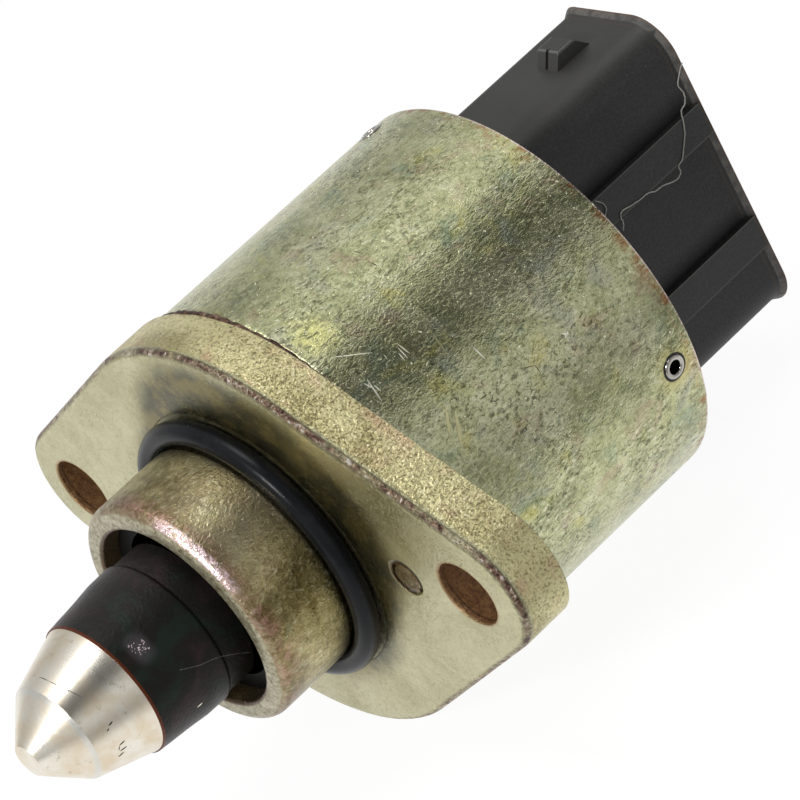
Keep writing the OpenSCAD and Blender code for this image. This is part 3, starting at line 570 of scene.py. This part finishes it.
def socket_finish():
    """The socket's plastic, with painted light on its pale lip, pale rib edges of wear and painted highlight,
    and painted shade beside the ribs.
    """
    f, colour = moulded("socket_black", srgb(0.125, 0.13, 0.125), 101.0, 0.46, 0.35)
    # Painted light: the -Y end face made lighter, as lit from that side.
    painted_top_light = f.times(f.step(f.y, -12.2, -13.7), f.scale(f.noise(0.3, 4.0, 0.6, 0.5, 103.0), 0.5, 1.0))
    colour = f.cover(colour, srgb(0.27, 0.26, 0.25), painted_top_light, 0.6)
    colour = f.cover(colour, srgb(0.24, 0.25, 0.24), f.spots(5.0, 3.0, 0.7, 0.0, 106.0, 0.40, 0.64), 0.35)
    below_mouth = f.less(PLUG_MOUTH, f.z)
    on_rib, beside, edges = [], [], []
    for near, far in RIB_SIDES:
        on_rib.append(f.band(f.y, near, far, 0.02))
        beside.append(f.times(f.step(f.y, near - 2.2, near - 0.2), f.step(f.y, near + 0.02, near - 0.02)))
        edges += [f.band(f.y, at, at + 0.10, 0.04) for at in (near, far - 0.10)]
    shade = f.times(f.most(*beside), f.step(f.x, 4.9, 5.2), f.step(below_mouth, 0.4, 1.6))
    colour = f.cover(colour, srgb(0.06, 0.065, 0.06), shade, 0.6)
    # Pale lines along the rib edges: wear, and painted edge highlight.
    at_face = f.step(f.x, RIB_FACE - 0.08, RIB_FACE)
    colour = f.cover(colour, srgb(0.34, 0.35, 0.33), f.most(*edges), at_face, 0.6)
    # Painted light: the flared lip strip made pale as if catching the light, with a mottled tone.
    outside = f.most(f.step(f.absolute(f.x), 5.0, 5.2), f.step(f.absolute(f.y), 13.1, 13.3))
    up = f.less(f.less(PLUG_FLARE, below_mouth), f.times(f.most(*on_rib), 0.5))
    lip_light_mottle = f.spots(1.2, 4.0, 0.65, 0.3, 105.0, 0.38, 0.62)
    worn = f.mix(lip_light_mottle, srgb(0.29, 0.28, 0.27), srgb(0.40, 0.385, 0.365))
    colour = f.cover(colour, worn, f.step(up, 0.26, 0.34), outside, 0.9)
    colour = f.cover(colour, srgb(0.32, 0.24, 0.18), f.band(up, -0.10, 0.06, 0.06), outside, 0.25)
    colour = f.cover(colour, srgb(0.46, 0.46, 0.44), latch_wear(f), 0.6)
    tip_line = f.band(below_mouth, 0.04, 0.11, 0.03)
    f.give("Base Color", f.cover(colour, srgb(0.40, 0.27, 0.18), tip_line, outside, 0.7))
    f.give("Specular IOR Level", f.scale(shade, 0.35, 0.18))
    return f.mat


def metal_finish(name, base, seed, rough, metal=1.0, along=(1.0, 1.0, 1.0)):
    """Plain worked metal or ceramic: tool marks, light stains."""
    f = Finish(name, metal=metal)
    stain = f.noise(0.4, 4.0, 0.6, 0.5, seed)
    f.give("Base Color", f.mix(f.step(stain, 0.40, 0.72), base, lighter(base, 0.7)))
    f.give("Roughness", f.scale(stain, rough - 0.06, rough + 0.12))
    f.bump(f.noise(2.0, 3.0, 0.6, 0.0, seed + 1.0, f.stretched(*along)), 0.02, 0.6)
    return f.mat


def shade_smooth(mesh, angle):
    """Smooth faces, with edges sharper than the angle left hard."""
    bm = bmesh.new()
    bm.from_mesh(mesh)
    bmesh.ops.remove_doubles(bm, verts=bm.verts, dist=0.0004 * MM)
    limit = math.radians(angle)
    for face in bm.faces:
        face.smooth = True
    for edge in bm.edges:
        edge.smooth = len(edge.link_faces) == 2 and edge.calc_face_angle(0.0) < limit
    bm.to_mesh(mesh)
    bm.free()


def true_round(mesh, radius):
    """Points the shading of a round wall straight out, so that long thin faces don't show in its gloss."""
    normals = [corner.vector.copy() for corner in mesh.corner_normals]
    for polygon in mesh.polygons:
        for i in polygon.loop_indices:
            v = mesh.vertices[mesh.loops[i].vertex_index].co
            out = Vector((v.x, v.y, 0.0))
            if abs(out.length - radius * MM) < 0.01 * MM and out.normalized().dot(polygon.normal) > 0.98:
                normals[i] = out.normalized()
    mesh.normals_split_custom_set(normals)


def in_scene(name, data):
    """A new object in the scene."""
    thing = bpy.data.objects.new(name, data)
    bpy.context.scene.collection.objects.link(thing)
    return thing


def dress(node, material, soften=0.0, angle=32.0, wall_radius=None):
    """A smooth copy of a CAD node in its finish, its hard edges slightly rounded. It stands for the node."""
    source = frame["nodes"][node]
    mesh = source.data.copy()
    mesh.materials.clear()
    mesh.materials.append(material)
    shade_smooth(mesh, angle)
    if wall_radius:
        true_round(mesh, wall_radius)
    piece = in_scene(node + "_finished", mesh)
    if soften:
        bevel = piece.modifiers.new("edge_break", "BEVEL")
        bevel.width = soften * MM
        bevel.segments = 2
        bevel.limit_method = "ANGLE"
        bevel.angle_limit = math.radians(40)
        bevel.harden_normals = True
        bevel.use_clamp_overlap = True
    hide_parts(node)
    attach(piece, source["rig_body"])


def add_piece(name, vertices, faces, material, body):
    """A new smooth mesh piece; vertices are in millimetres."""
    mesh = bpy.data.meshes.new(name)
    mesh.from_pydata([Vector(v) * MM for v in vertices], [], faces)
    mesh.materials.append(material)
    for polygon in mesh.polygons:
        polygon.use_smooth = True
    piece = in_scene(name, mesh)
    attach(piece, body)


def tube_along(points, sizes, sides, closed=False):
    """Vertices and faces of a tube through points, with one radius per point."""
    points = [Vector(p) for p in points]
    count = len(points)
    vertices, faces = [], []
    side = Vector((0.3, 0.2, 0.9))
    for i, p in enumerate(points):
        before = points[(i - 1) % count] if closed or i else p
        after = points[(i + 1) % count] if closed or i < count - 1 else p
        along = (after - before).normalized()
        side = (side - along * side.dot(along)).normalized()
        other = along.cross(side)
        for k in range(sides):
            a = 2 * math.pi * k / sides
            vertices.append(p + (side * math.cos(a) + other * math.sin(a)) * sizes[i])
    for i in range(count if closed else count - 1):
        j = (i + 1) % count
        for k in range(sides):
            m = (k + 1) % sides
            faces.append((i * sides + k, i * sides + m, j * sides + m, j * sides + k))
    if not closed:
        faces.append(tuple(range(sides))[::-1])
        faces.append(tuple((count - 1) * sides + k for k in range(sides)))
    return vertices, faces


def seam_bead(material):
    """The rough brazed line in the corner between can and flange."""
    count = 360
    points, sizes = [], []
    for i in range(count):
        a = 2 * math.pi * i / count
        slow = noise.noise(Vector((math.cos(a) * 9, math.sin(a) * 9, 1.0)))
        quick = noise.noise(Vector((math.cos(a) * 30, math.sin(a) * 30, 5.0)))
        radius = CAN_R + 0.02 + 0.05 * slow + 0.03 * quick
        points.append((radius * math.cos(a), radius * math.sin(a), FLANGE_T + 0.12 + 0.10 * quick))
        sizes.append(0.23 + 0.07 * slow + 0.07 * quick)
    vertices, faces = tube_along(points, sizes, 8, closed=True)
    add_piece("seam_bead", vertices, faces, material, "valve_body")


def strokes_on_round(name, strokes, radius_at, material, body):
    """Thin tapered marks lying on a surface of revolution: each is (angle, z, angle, z, width)."""
    vertices, faces = [], []
    steps = 8
    lift = 0.012
    for angle_a, z_a, angle_b, z_b, width in strokes:
        first = len(vertices)
        for i in range(steps + 1):
            t = i / steps
            angle = math.radians(angle_a + (angle_b - angle_a) * t)
            z = z_a + (z_b - z_a) * t
            half = width / 2 * math.sin(math.pi * (0.08 + 0.84 * t))
            radius = radius_at(z) + lift
            length = math.hypot(math.radians(angle_b - angle_a) * radius, z_b - z_a) or 1.0
            across = ((z_b - z_a) / length, -math.radians(angle_b - angle_a) * radius / length)
            for s in (-1, 1):
                turn = angle + s * half * across[0] / radius
                edge_z = z + s * half * across[1]
                edge_r = radius_at(edge_z) + lift
                vertices.append((edge_r * math.cos(turn), edge_r * math.sin(turn), edge_z))
        for i in range(steps):
            a = first + 2 * i
            faces.append((a, a + 1, a + 3, a + 2))
    add_piece(name, vertices, faces, material, body)


def can_radius(z):
    return CAN_R


def collar_radius(z):
    """Radius of the collar at a height, round lip included."""
    below = COLLAR_FRONT + LIP_ROUND - z
    if below <= 0:
        return COLLAR_R
    return COLLAR_R - LIP_ROUND + math.sqrt(max(0.0, LIP_ROUND ** 2 - below ** 2))


NOSE_OUTLINE = (
    (-26.2, 1.42), (TIP_RIDGE, 4.42), (-18.3, 5.90), (-18.02, 6.02), (SLEEVE_FRONT, 6.12),
    (-16.81, 6.24), (-14.85, 6.41), (-13.24, 6.61), (-11.45, 6.65),
)


def nose_radius(z):
    """Radius of tip and sleeve at a height."""
    for (z0, r0), (z1, r1) in zip(NOSE_OUTLINE, NOSE_OUTLINE[1:]):
        if z <= z1:
            return r0 + (r1 - r0) * (z - z0) / (z1 - z0)
    return NOSE_OUTLINE[-1][1]


def scattered_strokes(seed, count, angles, heights, length, width, radius):
    """Short marks strewn at random over part of a surface of revolution."""
    rng = random.Random(seed)
    strokes = []
    for _ in range(count):
        angle, z = rng.uniform(*angles), rng.uniform(*heights)
        size, lean = rng.uniform(*length), rng.uniform(0, math.pi)
        turn = math.degrees(size * math.cos(lean) / radius)
        strokes.append((angle, z, angle + turn, z + size * math.sin(lean), rng.uniform(*width)))
    return strokes


def fine_line(name, points, radius, material, body, wander, seed):
    """A hair or fibre lying through points, smoothed and slightly wandering."""
    rng = random.Random(seed)
    points = [Vector(p) for p in points]
    last = len(points) - 1
    fine = []
    for i in range(last):
        p0, p1, p2, p3 = (points[max(0, min(last, i + k))] for k in (-1, 0, 1, 2))
        for k in range(6):
            t = k / 6
            bend = (2 * p0 - 5 * p1 + 4 * p2 - p3) * t * t + (3 * p1 - p0 - 3 * p2 + p3) * t ** 3
            p = 0.5 * (2 * p1 + (p2 - p0) * t + bend)
            fine.append(p + Vector((0.0, rng.uniform(-wander, wander), rng.uniform(-wander, wander))))
    fine.append(points[-1])
    vertices, faces = tube_along(fine, [radius] * len(fine), 5)
    add_piece(name, vertices, faces, material, body)


def wire_tree():
    """Geometry Nodes: turns of round wire, stacked along Z as closed rings."""
    tree = bpy.data.node_groups.new("wire_turns", "GeometryNodeTree")
    tree.interface.new_socket("Geometry", in_out="OUTPUT", socket_type="NodeSocketGeometry")
    for name, kind in (("Coil radius", "Float"), ("Wire radius", "Float"), ("Turns", "Int"),
                       ("Start height", "Float"), ("Pitch", "Float"), ("Finish", "Material")):
        tree.interface.new_socket(name, in_out="INPUT", socket_type="NodeSocket" + kind)
    nodes, link = tree.nodes, tree.links.new
    given = nodes.new("NodeGroupInput").outputs
    start = nodes.new("ShaderNodeCombineXYZ")
    link(given["Start height"], start.inputs["Z"])
    step = nodes.new("ShaderNodeCombineXYZ")
    link(given["Pitch"], step.inputs["Z"])
    places = nodes.new("GeometryNodeMeshLine")
    link(given["Turns"], places.inputs["Count"])
    link(start.outputs[0], places.inputs["Start Location"])
    link(step.outputs[0], places.inputs["Offset"])
    ring = nodes.new("GeometryNodeCurvePrimitiveCircle")
    ring.inputs["Resolution"].default_value = 72
    link(given["Coil radius"], ring.inputs["Radius"])
    section = nodes.new("GeometryNodeCurvePrimitiveCircle")
    section.inputs["Resolution"].default_value = 8
    link(given["Wire radius"], section.inputs["Radius"])
    wire = nodes.new("GeometryNodeCurveToMesh")
    link(ring.outputs["Curve"], wire.inputs["Curve"])
    link(section.outputs["Curve"], wire.inputs["Profile Curve"])
    stack = nodes.new("GeometryNodeInstanceOnPoints")
    link(places.outputs[0], stack.inputs["Points"])
    link(wire.outputs[0], stack.inputs["Instance"])
    real = nodes.new("GeometryNodeRealizeInstances")
    link(stack.outputs[0], real.inputs[0])
    smooth = nodes.new("GeometryNodeSetShadeSmooth")
    link(real.outputs[0], smooth.inputs[0])
    paint = nodes.new("GeometryNodeSetMaterial")
    link(smooth.outputs[0], paint.inputs["Geometry"])
    link(given["Finish"], paint.inputs["Material"])
    link(paint.outputs[0], nodes.new("NodeGroupOutput").inputs[0])
    return tree


def grown(name, tree, body, values):
    """Runs a Geometry Nodes tree once and keeps its result as a plain mesh piece."""
    holder = in_scene(name + "_source", bpy.data.meshes.new(name + "_source"))
    modifier = holder.modifiers.new("grow", "NODES")
    modifier.node_group = tree
    for item in tree.interface.items_tree:
        if item.in_out == "INPUT":
            modifier[item.identifier] = values[item.name]
    bpy.context.view_layer.update()
    graph = bpy.context.evaluated_depsgraph_get()
    mesh = bpy.data.meshes.new_from_object(holder.evaluated_get(graph))
    bpy.data.objects.remove(holder)
    piece = in_scene(name, mesh)
    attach(piece, body)


# Finishes
can_zinc = can_finish()
flange_zinc = flange_finish()
collar_zinc = collar_finish()
seam_braze = seam_finish()
ring_rubber = rubber_finish()
sleeve_black = sleeve_finish()
tip_turned = tip_finish()
socket_black = socket_finish()
# Black plastic made darker than the part itself, so that it also stands for the shade in the collar's bore:
# part colour, part painted shade.
bush_black = plastic_finish("bush_black", srgb(0.05, 0.055, 0.06), 91.0, 0.45, 0.08)
bobbin_plastic = plastic_finish("bobbin_plastic", srgb(0.30, 0.31, 0.29), 171.0, 0.5)
fibre_grey = plastic_finish("fibre_grey", srgb(0.56, 0.56, 0.54), 201.0, 0.8)
nick_dark = plastic_finish("nick_dark", srgb(0.16, 0.14, 0.10), 221.0, 0.7)
pin_steel = metal_finish("pin_steel", srgb(0.74, 0.73, 0.70), 111.0, 0.14)
shaft_steel = metal_finish("shaft_steel", srgb(0.70, 0.71, 0.72), 121.0, 0.30, along=(0.3, 0.3, 3.0))
race_steel = metal_finish("race_steel", srgb(0.80, 0.81, 0.83), 131.0, 0.18)
pole_steel = metal_finish("pole_steel", srgb(0.58, 0.58, 0.57), 141.0, 0.40)
sintered_bronze = metal_finish("sintered_bronze", srgb(0.70, 0.54, 0.34), 151.0, 0.42)
ferrite = metal_finish("ferrite", srgb(0.22, 0.22, 0.225), 161.0, 0.48, metal=0.1)
enamel_copper = metal_finish("enamel_copper", srgb(0.72, 0.38, 0.20), 181.0, 0.28)
tinned_contact = metal_finish("tinned_contact", srgb(0.80, 0.79, 0.75), 191.0, 0.26, along=(1.0, 1.0, 0.2))
glint_pink = metal_finish("glint_pink", srgb(0.97, 0.89, 0.92), 113.0, 0.3, 0.4)
bare_scratch = metal_finish("bare_scratch", srgb(0.94, 0.93, 0.85), 211.0, 0.4, 0.3)
olive_rub = metal_finish("olive_rub", srgb(0.86, 0.84, 0.64), 216.0, 0.3, 0.8)

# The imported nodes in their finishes
dress("canister", can_zinc, wall_radius=CAN_R)
dress("mounting_flange", flange_zinc, 0.08, 24.0)
dress("nose_collar", collar_zinc, 0.05)
dress("seal_ring", ring_rubber)
dress("guide_bush", bush_black, 0.08)
dress("pintle_sleeve", sleeve_black, 0.04, 20.0)
dress("pintle_tip", tip_turned, 0.06, 10.0)
dress("plug_socket", socket_black, 0.12)
dress("retaining_pins", pin_steel, 0.18)
dress("terminals", tinned_contact, 0.05)
dress("lead_screw", shaft_steel, 0.08)
dress("drive_nut", sintered_bronze, 0.08)
dress("rotor_hub", bush_black, 0.08)
dress("rotor_magnet", ferrite, 0.10)
dress("bearing_outer_ring", race_steel, 0.04)
dress("bearing_inner_ring", race_steel, 0.04)
dress("bearing_balls", race_steel)
dress("bearing_cage", sintered_bronze)
for node in ("front_pole_cup", "front_pole_plate", "rear_pole_plate", "rear_pole_cup"):
    dress(node, pole_steel)
for node in ("front_bobbin", "rear_bobbin"):
    dress(node, bobbin_plastic, 0.06)
for node in ("front_winding", "rear_winding"):
    dress(node, enamel_copper)
dress("wave_washer", race_steel)
dress("rear_bush", sintered_bronze, 0.06)
dress("base_seal_ring", ring_rubber)

# Braze and wire
seam_bead(seam_braze)
turns = wire_tree()
for coil, start in COIL_STARTS:
    grown(coil + "_wire_turns", turns, "valve_body", {
        "Coil radius": COIL_R * MM, "Wire radius": WIRE_R * MM, "Turns": COIL_TURNS,
        "Start height": start * MM, "Pitch": WIRE_PITCH * MM, "Finish": enamel_copper})

# Scratches, rubs and nicks of the can: some in their places, then fine ones strewn about
can_scratches = [
    (-53.6, 6.7, -47.4, 9.2, 0.10), (-43.4, 7.25, -37.3, 6.8, 0.14), (-43.3, 6.85, -40.6, 7.1, 0.12),
    (-41.4, 7.3, -39.2, 7.35, 0.12), (-44.7, 11.1, -41.1, 11.2, 0.10), (-44.2, 10.9, -40.5, 10.8, 0.08),
    (-43.0, 10.6, -40.7, 10.5, 0.08), (-32.0, 15.25, -27.9, 15.35, 0.12), (-19.9, 21.6, -18.5, 22.1, 0.16),
    (-19.3, 22.2, -18.4, 21.6, 0.14),
]
can_scratches += scattered_strokes(5, 20, (-66, -30), (5.6, 11), (0.2, 0.6), (0.03, 0.05), CAN_R)
can_rubs = [
    (-43.0, 13.8, -34.8, 13.3, 0.14), (-23.8, 10.7, -16.8, 9.35, 0.30), (-26.5, 10.4, -19.5, 8.9, 0.24),
]
can_rubs += scattered_strokes(6, 60, (-100, 40), (6, 30), (0.5, 1.8), (0.03, 0.06), CAN_R)
can_nicks = [
    (-20.1, 17.2, -18.7, 18.25, 0.06), (-18.7, 18.25, -16.5, 18.25, 0.06), (-28.3, 17.1, -27.5, 18.5, 0.06),
]
can_nicks += scattered_strokes(7, 34, (-110, 45), (6, 30), (0.4, 1.1), (0.03, 0.045), CAN_R)
strokes_on_round("can_scratches", can_scratches, can_radius, bare_scratch, "valve_body")
strokes_on_round("can_rubs", can_rubs, can_radius, olive_rub, "valve_body")
strokes_on_round("can_nicks", can_nicks, can_radius, nick_dark, "valve_body")

# Scratches of the collar, and painted highlight strokes on its lip
collar_scratches = scattered_strokes(8, 60, (-70, -30), (-7.4, -3.2), (0.3, 0.9), (0.025, 0.045), COLLAR_R)
lip_highlight_strokes = scattered_strokes(9, 22, (-66, -34), (-9.1, -8.3), (0.2, 0.6), (0.03, 0.06), COLLAR_R)
strokes_on_round("collar_scratches", collar_scratches, collar_radius, olive_rub, "valve_body")
strokes_on_round("lip_highlight_strokes", lip_highlight_strokes, collar_radius, bare_scratch, "valve_body")

# Nicks of the tip, and the glints, chip and hair of the sleeve
tip_nicks = [
    (-8.0, -20.9, -6.5, -21.3, 0.12), (-4.5, -21.4, -3.0, -21.6, 0.10), (15.0, -20.8, 17.0, -21.3, 0.10),
    (18.0, -21.3, 22.0, -21.45, 0.07), (22.5, -20.8, 24.0, -21.35, 0.10), (27.5, -21.1, 30.5, -21.6, 0.10),
    (-90.6, -21.96, -76.0, -21.95, 0.05), (-76.0, -21.95, -62.7, -21.89, 0.06),
    (-62.7, -21.89, -41.8, -21.48, 0.05),
]
sleeve_glints = scattered_strokes(10, 34, (-43, -32), (-16.7, -15.4), (0.06, 0.26), (0.03, 0.07), 6.3)
sleeve_chip = [(28.2, -14.15, 29.3, -14.65, 0.16)]
sleeve_hair = (
    (6.39, -0.80, -14.69), (6.68, -0.1, -13.2), (6.72, 0.38, -11.83), (6.5, 1.4, -10.2), (6.30, 2.39, -8.88),
)
strokes_on_round("tip_nicks", tip_nicks, nose_radius, nick_dark, "pintle")
strokes_on_round("sleeve_glints", sleeve_glints, nose_radius, glint_pink, "pintle")
strokes_on_round("sleeve_chip", sleeve_chip, nose_radius, bare_scratch, "pintle")
fine_line("sleeve_hair", sleeve_hair, 0.008, fibre_grey, "pintle", 0.0, 4)

# The two fibres on the socket: the long one comes over the lip, then both lie on the ribbed side
over_lip = [(6.15, -9.92, 49.02), (5.88, -9.18, 48.49), (5.75, -8.41, 48.02), (5.78, -7.47, 48.15)]
on_side = (
    (-7.1, 47.46), (-6.81, 46.87), (-5.68, 46.51), (-4.90, 46.13), (-4.26, 45.59), (-3.50, 44.96),
    (-3.25, 44.37), (-2.71, 44.30), (-2.46, 43.77), (-2.61, 43.11), (-2.93, 42.23), (-3.02, 41.42),
    (-3.35, 40.76), (-3.43, 39.84), (-3.57, 38.84), (-3.78, 37.88), (-3.52, 37.53), (-2.88, 37.45),
    (-2.34, 37.12),
)
short_one = ((-6.14, 36.05), (-5.46, 36.59), (-4.90, 36.63), (-4.52, 36.22))
long_fibre = over_lip + [(FIBRE_X, y, z) for y, z in on_side]
short_fibre = [(FIBRE_X, y, z) for y, z in short_one]
fine_line("socket_fibre", long_fibre, 0.055, fibre_grey, "valve_body", 0.02, 3)
fine_line("socket_fibre_short", short_fibre, 0.05, fibre_grey, "valve_body", 0.02, 6)


def add_camera():
    """The long lens that the photograph was taken with."""
    data = bpy.data.cameras.new("photo_camera")
    data.sensor_width = 36.0
    data.lens = LENS
    data.clip_start = 0.02
    data.clip_end = 10.0
    camera = in_scene("photo_camera", data)
    turn = Matrix((RIGHT, -DOWN, -AWAY)).transposed()
    camera.matrix_world = Matrix.Translation(CAMERA_AT) @ turn.to_4x4()
    bpy.context.scene.camera = camera


def add_softbox(name, azimuth, elevation, distance, size, power):
    """A square area lamp that faces the valve."""
    a, e = math.radians(azimuth), math.radians(elevation)
    place = Vector((math.cos(a) * math.cos(e), math.sin(a) * math.cos(e), math.sin(e))) * distance
    data = bpy.data.lights.new(name, "AREA")
    data.size = size
    data.energy = power
    lamp = in_scene(name, data)
    lamp.location = place
    lamp.rotation_mode = "QUATERNION"
    lamp.rotation_quaternion = place.to_track_quat("Z", "Y")


def greys(tree, value, levels):
    """A ramp of greys through levels, each (place from 0 to 1, brightness)."""
    return colour_ramp(tree, value, [(at, (level, level, level, 1.0)) for at, level in levels])


# How bright the room is round the valve: azimuth in degrees, brightness
ROOM = (
    (-180, 0.78), (-160, 0.56), (-140, 0.54), (-124, 0.65), (-108, 0.90), (-94, 1.16), (-78, 0.46),
    (-64, 0.06), (-42, 0.05), (-26, 0.60), (-12, 0.74), (2, 0.45), (20, 0.40), (36, 0.56), (52, 1.0),
    (110, 1.04), (132, 1.2), (160, 0.78),
)


def add_world():
    """A white room with a darker side behind the camera. Camera rays see plain white."""
    world = bpy.data.worlds.new("white_room")
    world.use_nodes = True
    bpy.context.scene.world = world
    nodes, link = world.node_tree.nodes, world.node_tree.links.new
    nodes.clear()
    coords = nodes.new("ShaderNodeTexCoord")
    split = nodes.new("ShaderNodeSeparateXYZ")
    link(coords.outputs["Generated"], split.inputs[0])
    azimuth = nodes.new("ShaderNodeMath")
    azimuth.operation = "ARCTAN2"
    link(split.outputs["Y"], azimuth.inputs[0])
    link(split.outputs["X"], azimuth.inputs[1])
    share = nodes.new("ShaderNodeMapRange")
    link(azimuth.outputs[0], share.inputs[0])
    share.inputs["From Min"].default_value = -math.pi
    share.inputs["From Max"].default_value = math.pi
    levels = [((angle + 180) / 360, level) for angle, level in ROOM]
    light = greys(world.node_tree, share.outputs[0], levels)
    path = nodes.new("ShaderNodeLightPath")
    see = nodes.new("ShaderNodeMix")
    see.data_type = "RGBA"
    link(path.outputs["Is Camera Ray"], see.inputs[0])
    link(light, see.inputs[6])
    see.inputs[7].default_value = (1.0, 1.0, 1.0, 1.0)
    back = nodes.new("ShaderNodeBackground")
    link(see.outputs[2], back.inputs["Color"])
    link(back.outputs[0], nodes.new("ShaderNodeOutputWorld").inputs[0])


# How bright the floor looks in the metal's gloss, over its span in metres from the valve along X
FLOOR_IN_GLOSS = ((0.10, 1.0), (0.145, 0.40), (0.23, 0.26), (0.40, 0.30), (1.0, 0.6))
FLOOR_SPAN = 0.3
FLOOR_REACH = 900.0
FLOOR_GLOW = 1.04
GLOW_SHARE = 0.90


def floor_finish():
    """White that glows for the camera and in gloss, takes a faint shadow, and isn't there from below."""
    mat = bpy.data.materials.new("floor_white")
    mat.use_nodes = True
    nodes, link = mat.node_tree.nodes, mat.node_tree.links.new
    nodes.clear()
    path = nodes.new("ShaderNodeLightPath").outputs
    coords = nodes.new("ShaderNodeTexCoord")
    split = nodes.new("ShaderNodeSeparateXYZ")
    link(coords.outputs["Object"], split.inputs[0])
    along = nodes.new("ShaderNodeMapRange")
    along.inputs["From Max"].default_value = FLOOR_SPAN
    link(split.outputs["X"], along.inputs[0])
    tone = nodes.new("ShaderNodeMix")
    tone.data_type = "RGBA"
    tone.inputs[6].default_value = (1.0, 1.0, 1.0, 1.0)
    link(path["Is Glossy Ray"], tone.inputs[0])
    link(greys(mat.node_tree, along.outputs[0], FLOOR_IN_GLOSS), tone.inputs[7])
    glow = nodes.new("ShaderNodeEmission")
    glow.inputs["Strength"].default_value = FLOOR_GLOW
    link(tone.outputs[2], glow.inputs["Color"])
    diffuse = nodes.new("ShaderNodeBsdfDiffuse")
    diffuse.inputs["Color"].default_value = (0.9, 0.9, 0.9, 1.0)
    either = nodes.new("ShaderNodeMath")
    either.operation = "MAXIMUM"
    link(path["Is Camera Ray"], either.inputs[0])
    link(path["Is Glossy Ray"], either.inputs[1])
    part = nodes.new("ShaderNodeMath")
    part.operation = "MULTIPLY"
    part.inputs[1].default_value = GLOW_SHARE
    link(either.outputs[0], part.inputs[0])
    lit = nodes.new("ShaderNodeMixShader")
    link(part.outputs[0], lit.inputs[0])
    link(diffuse.outputs[0], lit.inputs[1])
    link(glow.outputs[0], lit.inputs[2])
    clear = nodes.new("ShaderNodeBsdfTransparent")
    side = nodes.new("ShaderNodeNewGeometry")
    pick = nodes.new("ShaderNodeMixShader")
    link(side.outputs["Backfacing"], pick.inputs[0])
    link(lit.outputs[0], pick.inputs[1])
    link(clear.outputs[0], pick.inputs[2])
    link(pick.outputs[0], nodes.new("ShaderNodeOutputMaterial").inputs[0])
    return mat


def add_floor():
    """The pale table top on which the valve lies on its flange and can."""
    y = CAN_R + 0.35
    around = ((-1, -1), (1, -1), (1, 1), (-1, 1))
    corners = [Vector((x * FLOOR_REACH, y, z * FLOOR_REACH)) * MM for x, z in around]
    mesh = bpy.data.meshes.new("floor")
    mesh.from_pydata(corners, [], [(0, 1, 2, 3)])
    mesh.materials.append(floor_finish())
    floor = in_scene("floor", mesh)


add_world()
add_softbox("soft_side", -88.0, -4.0, 0.55, 0.22, 0.7)
add_softbox("spark_high", -45.0, 6.0, 0.60, 0.03, 0.04)
add_softbox("spark_low", -68.0, -55.0, 0.60, 0.10, 1.5)
add_floor()
add_camera()
bpy.context.scene.view_settings.view_transform = "Standard"
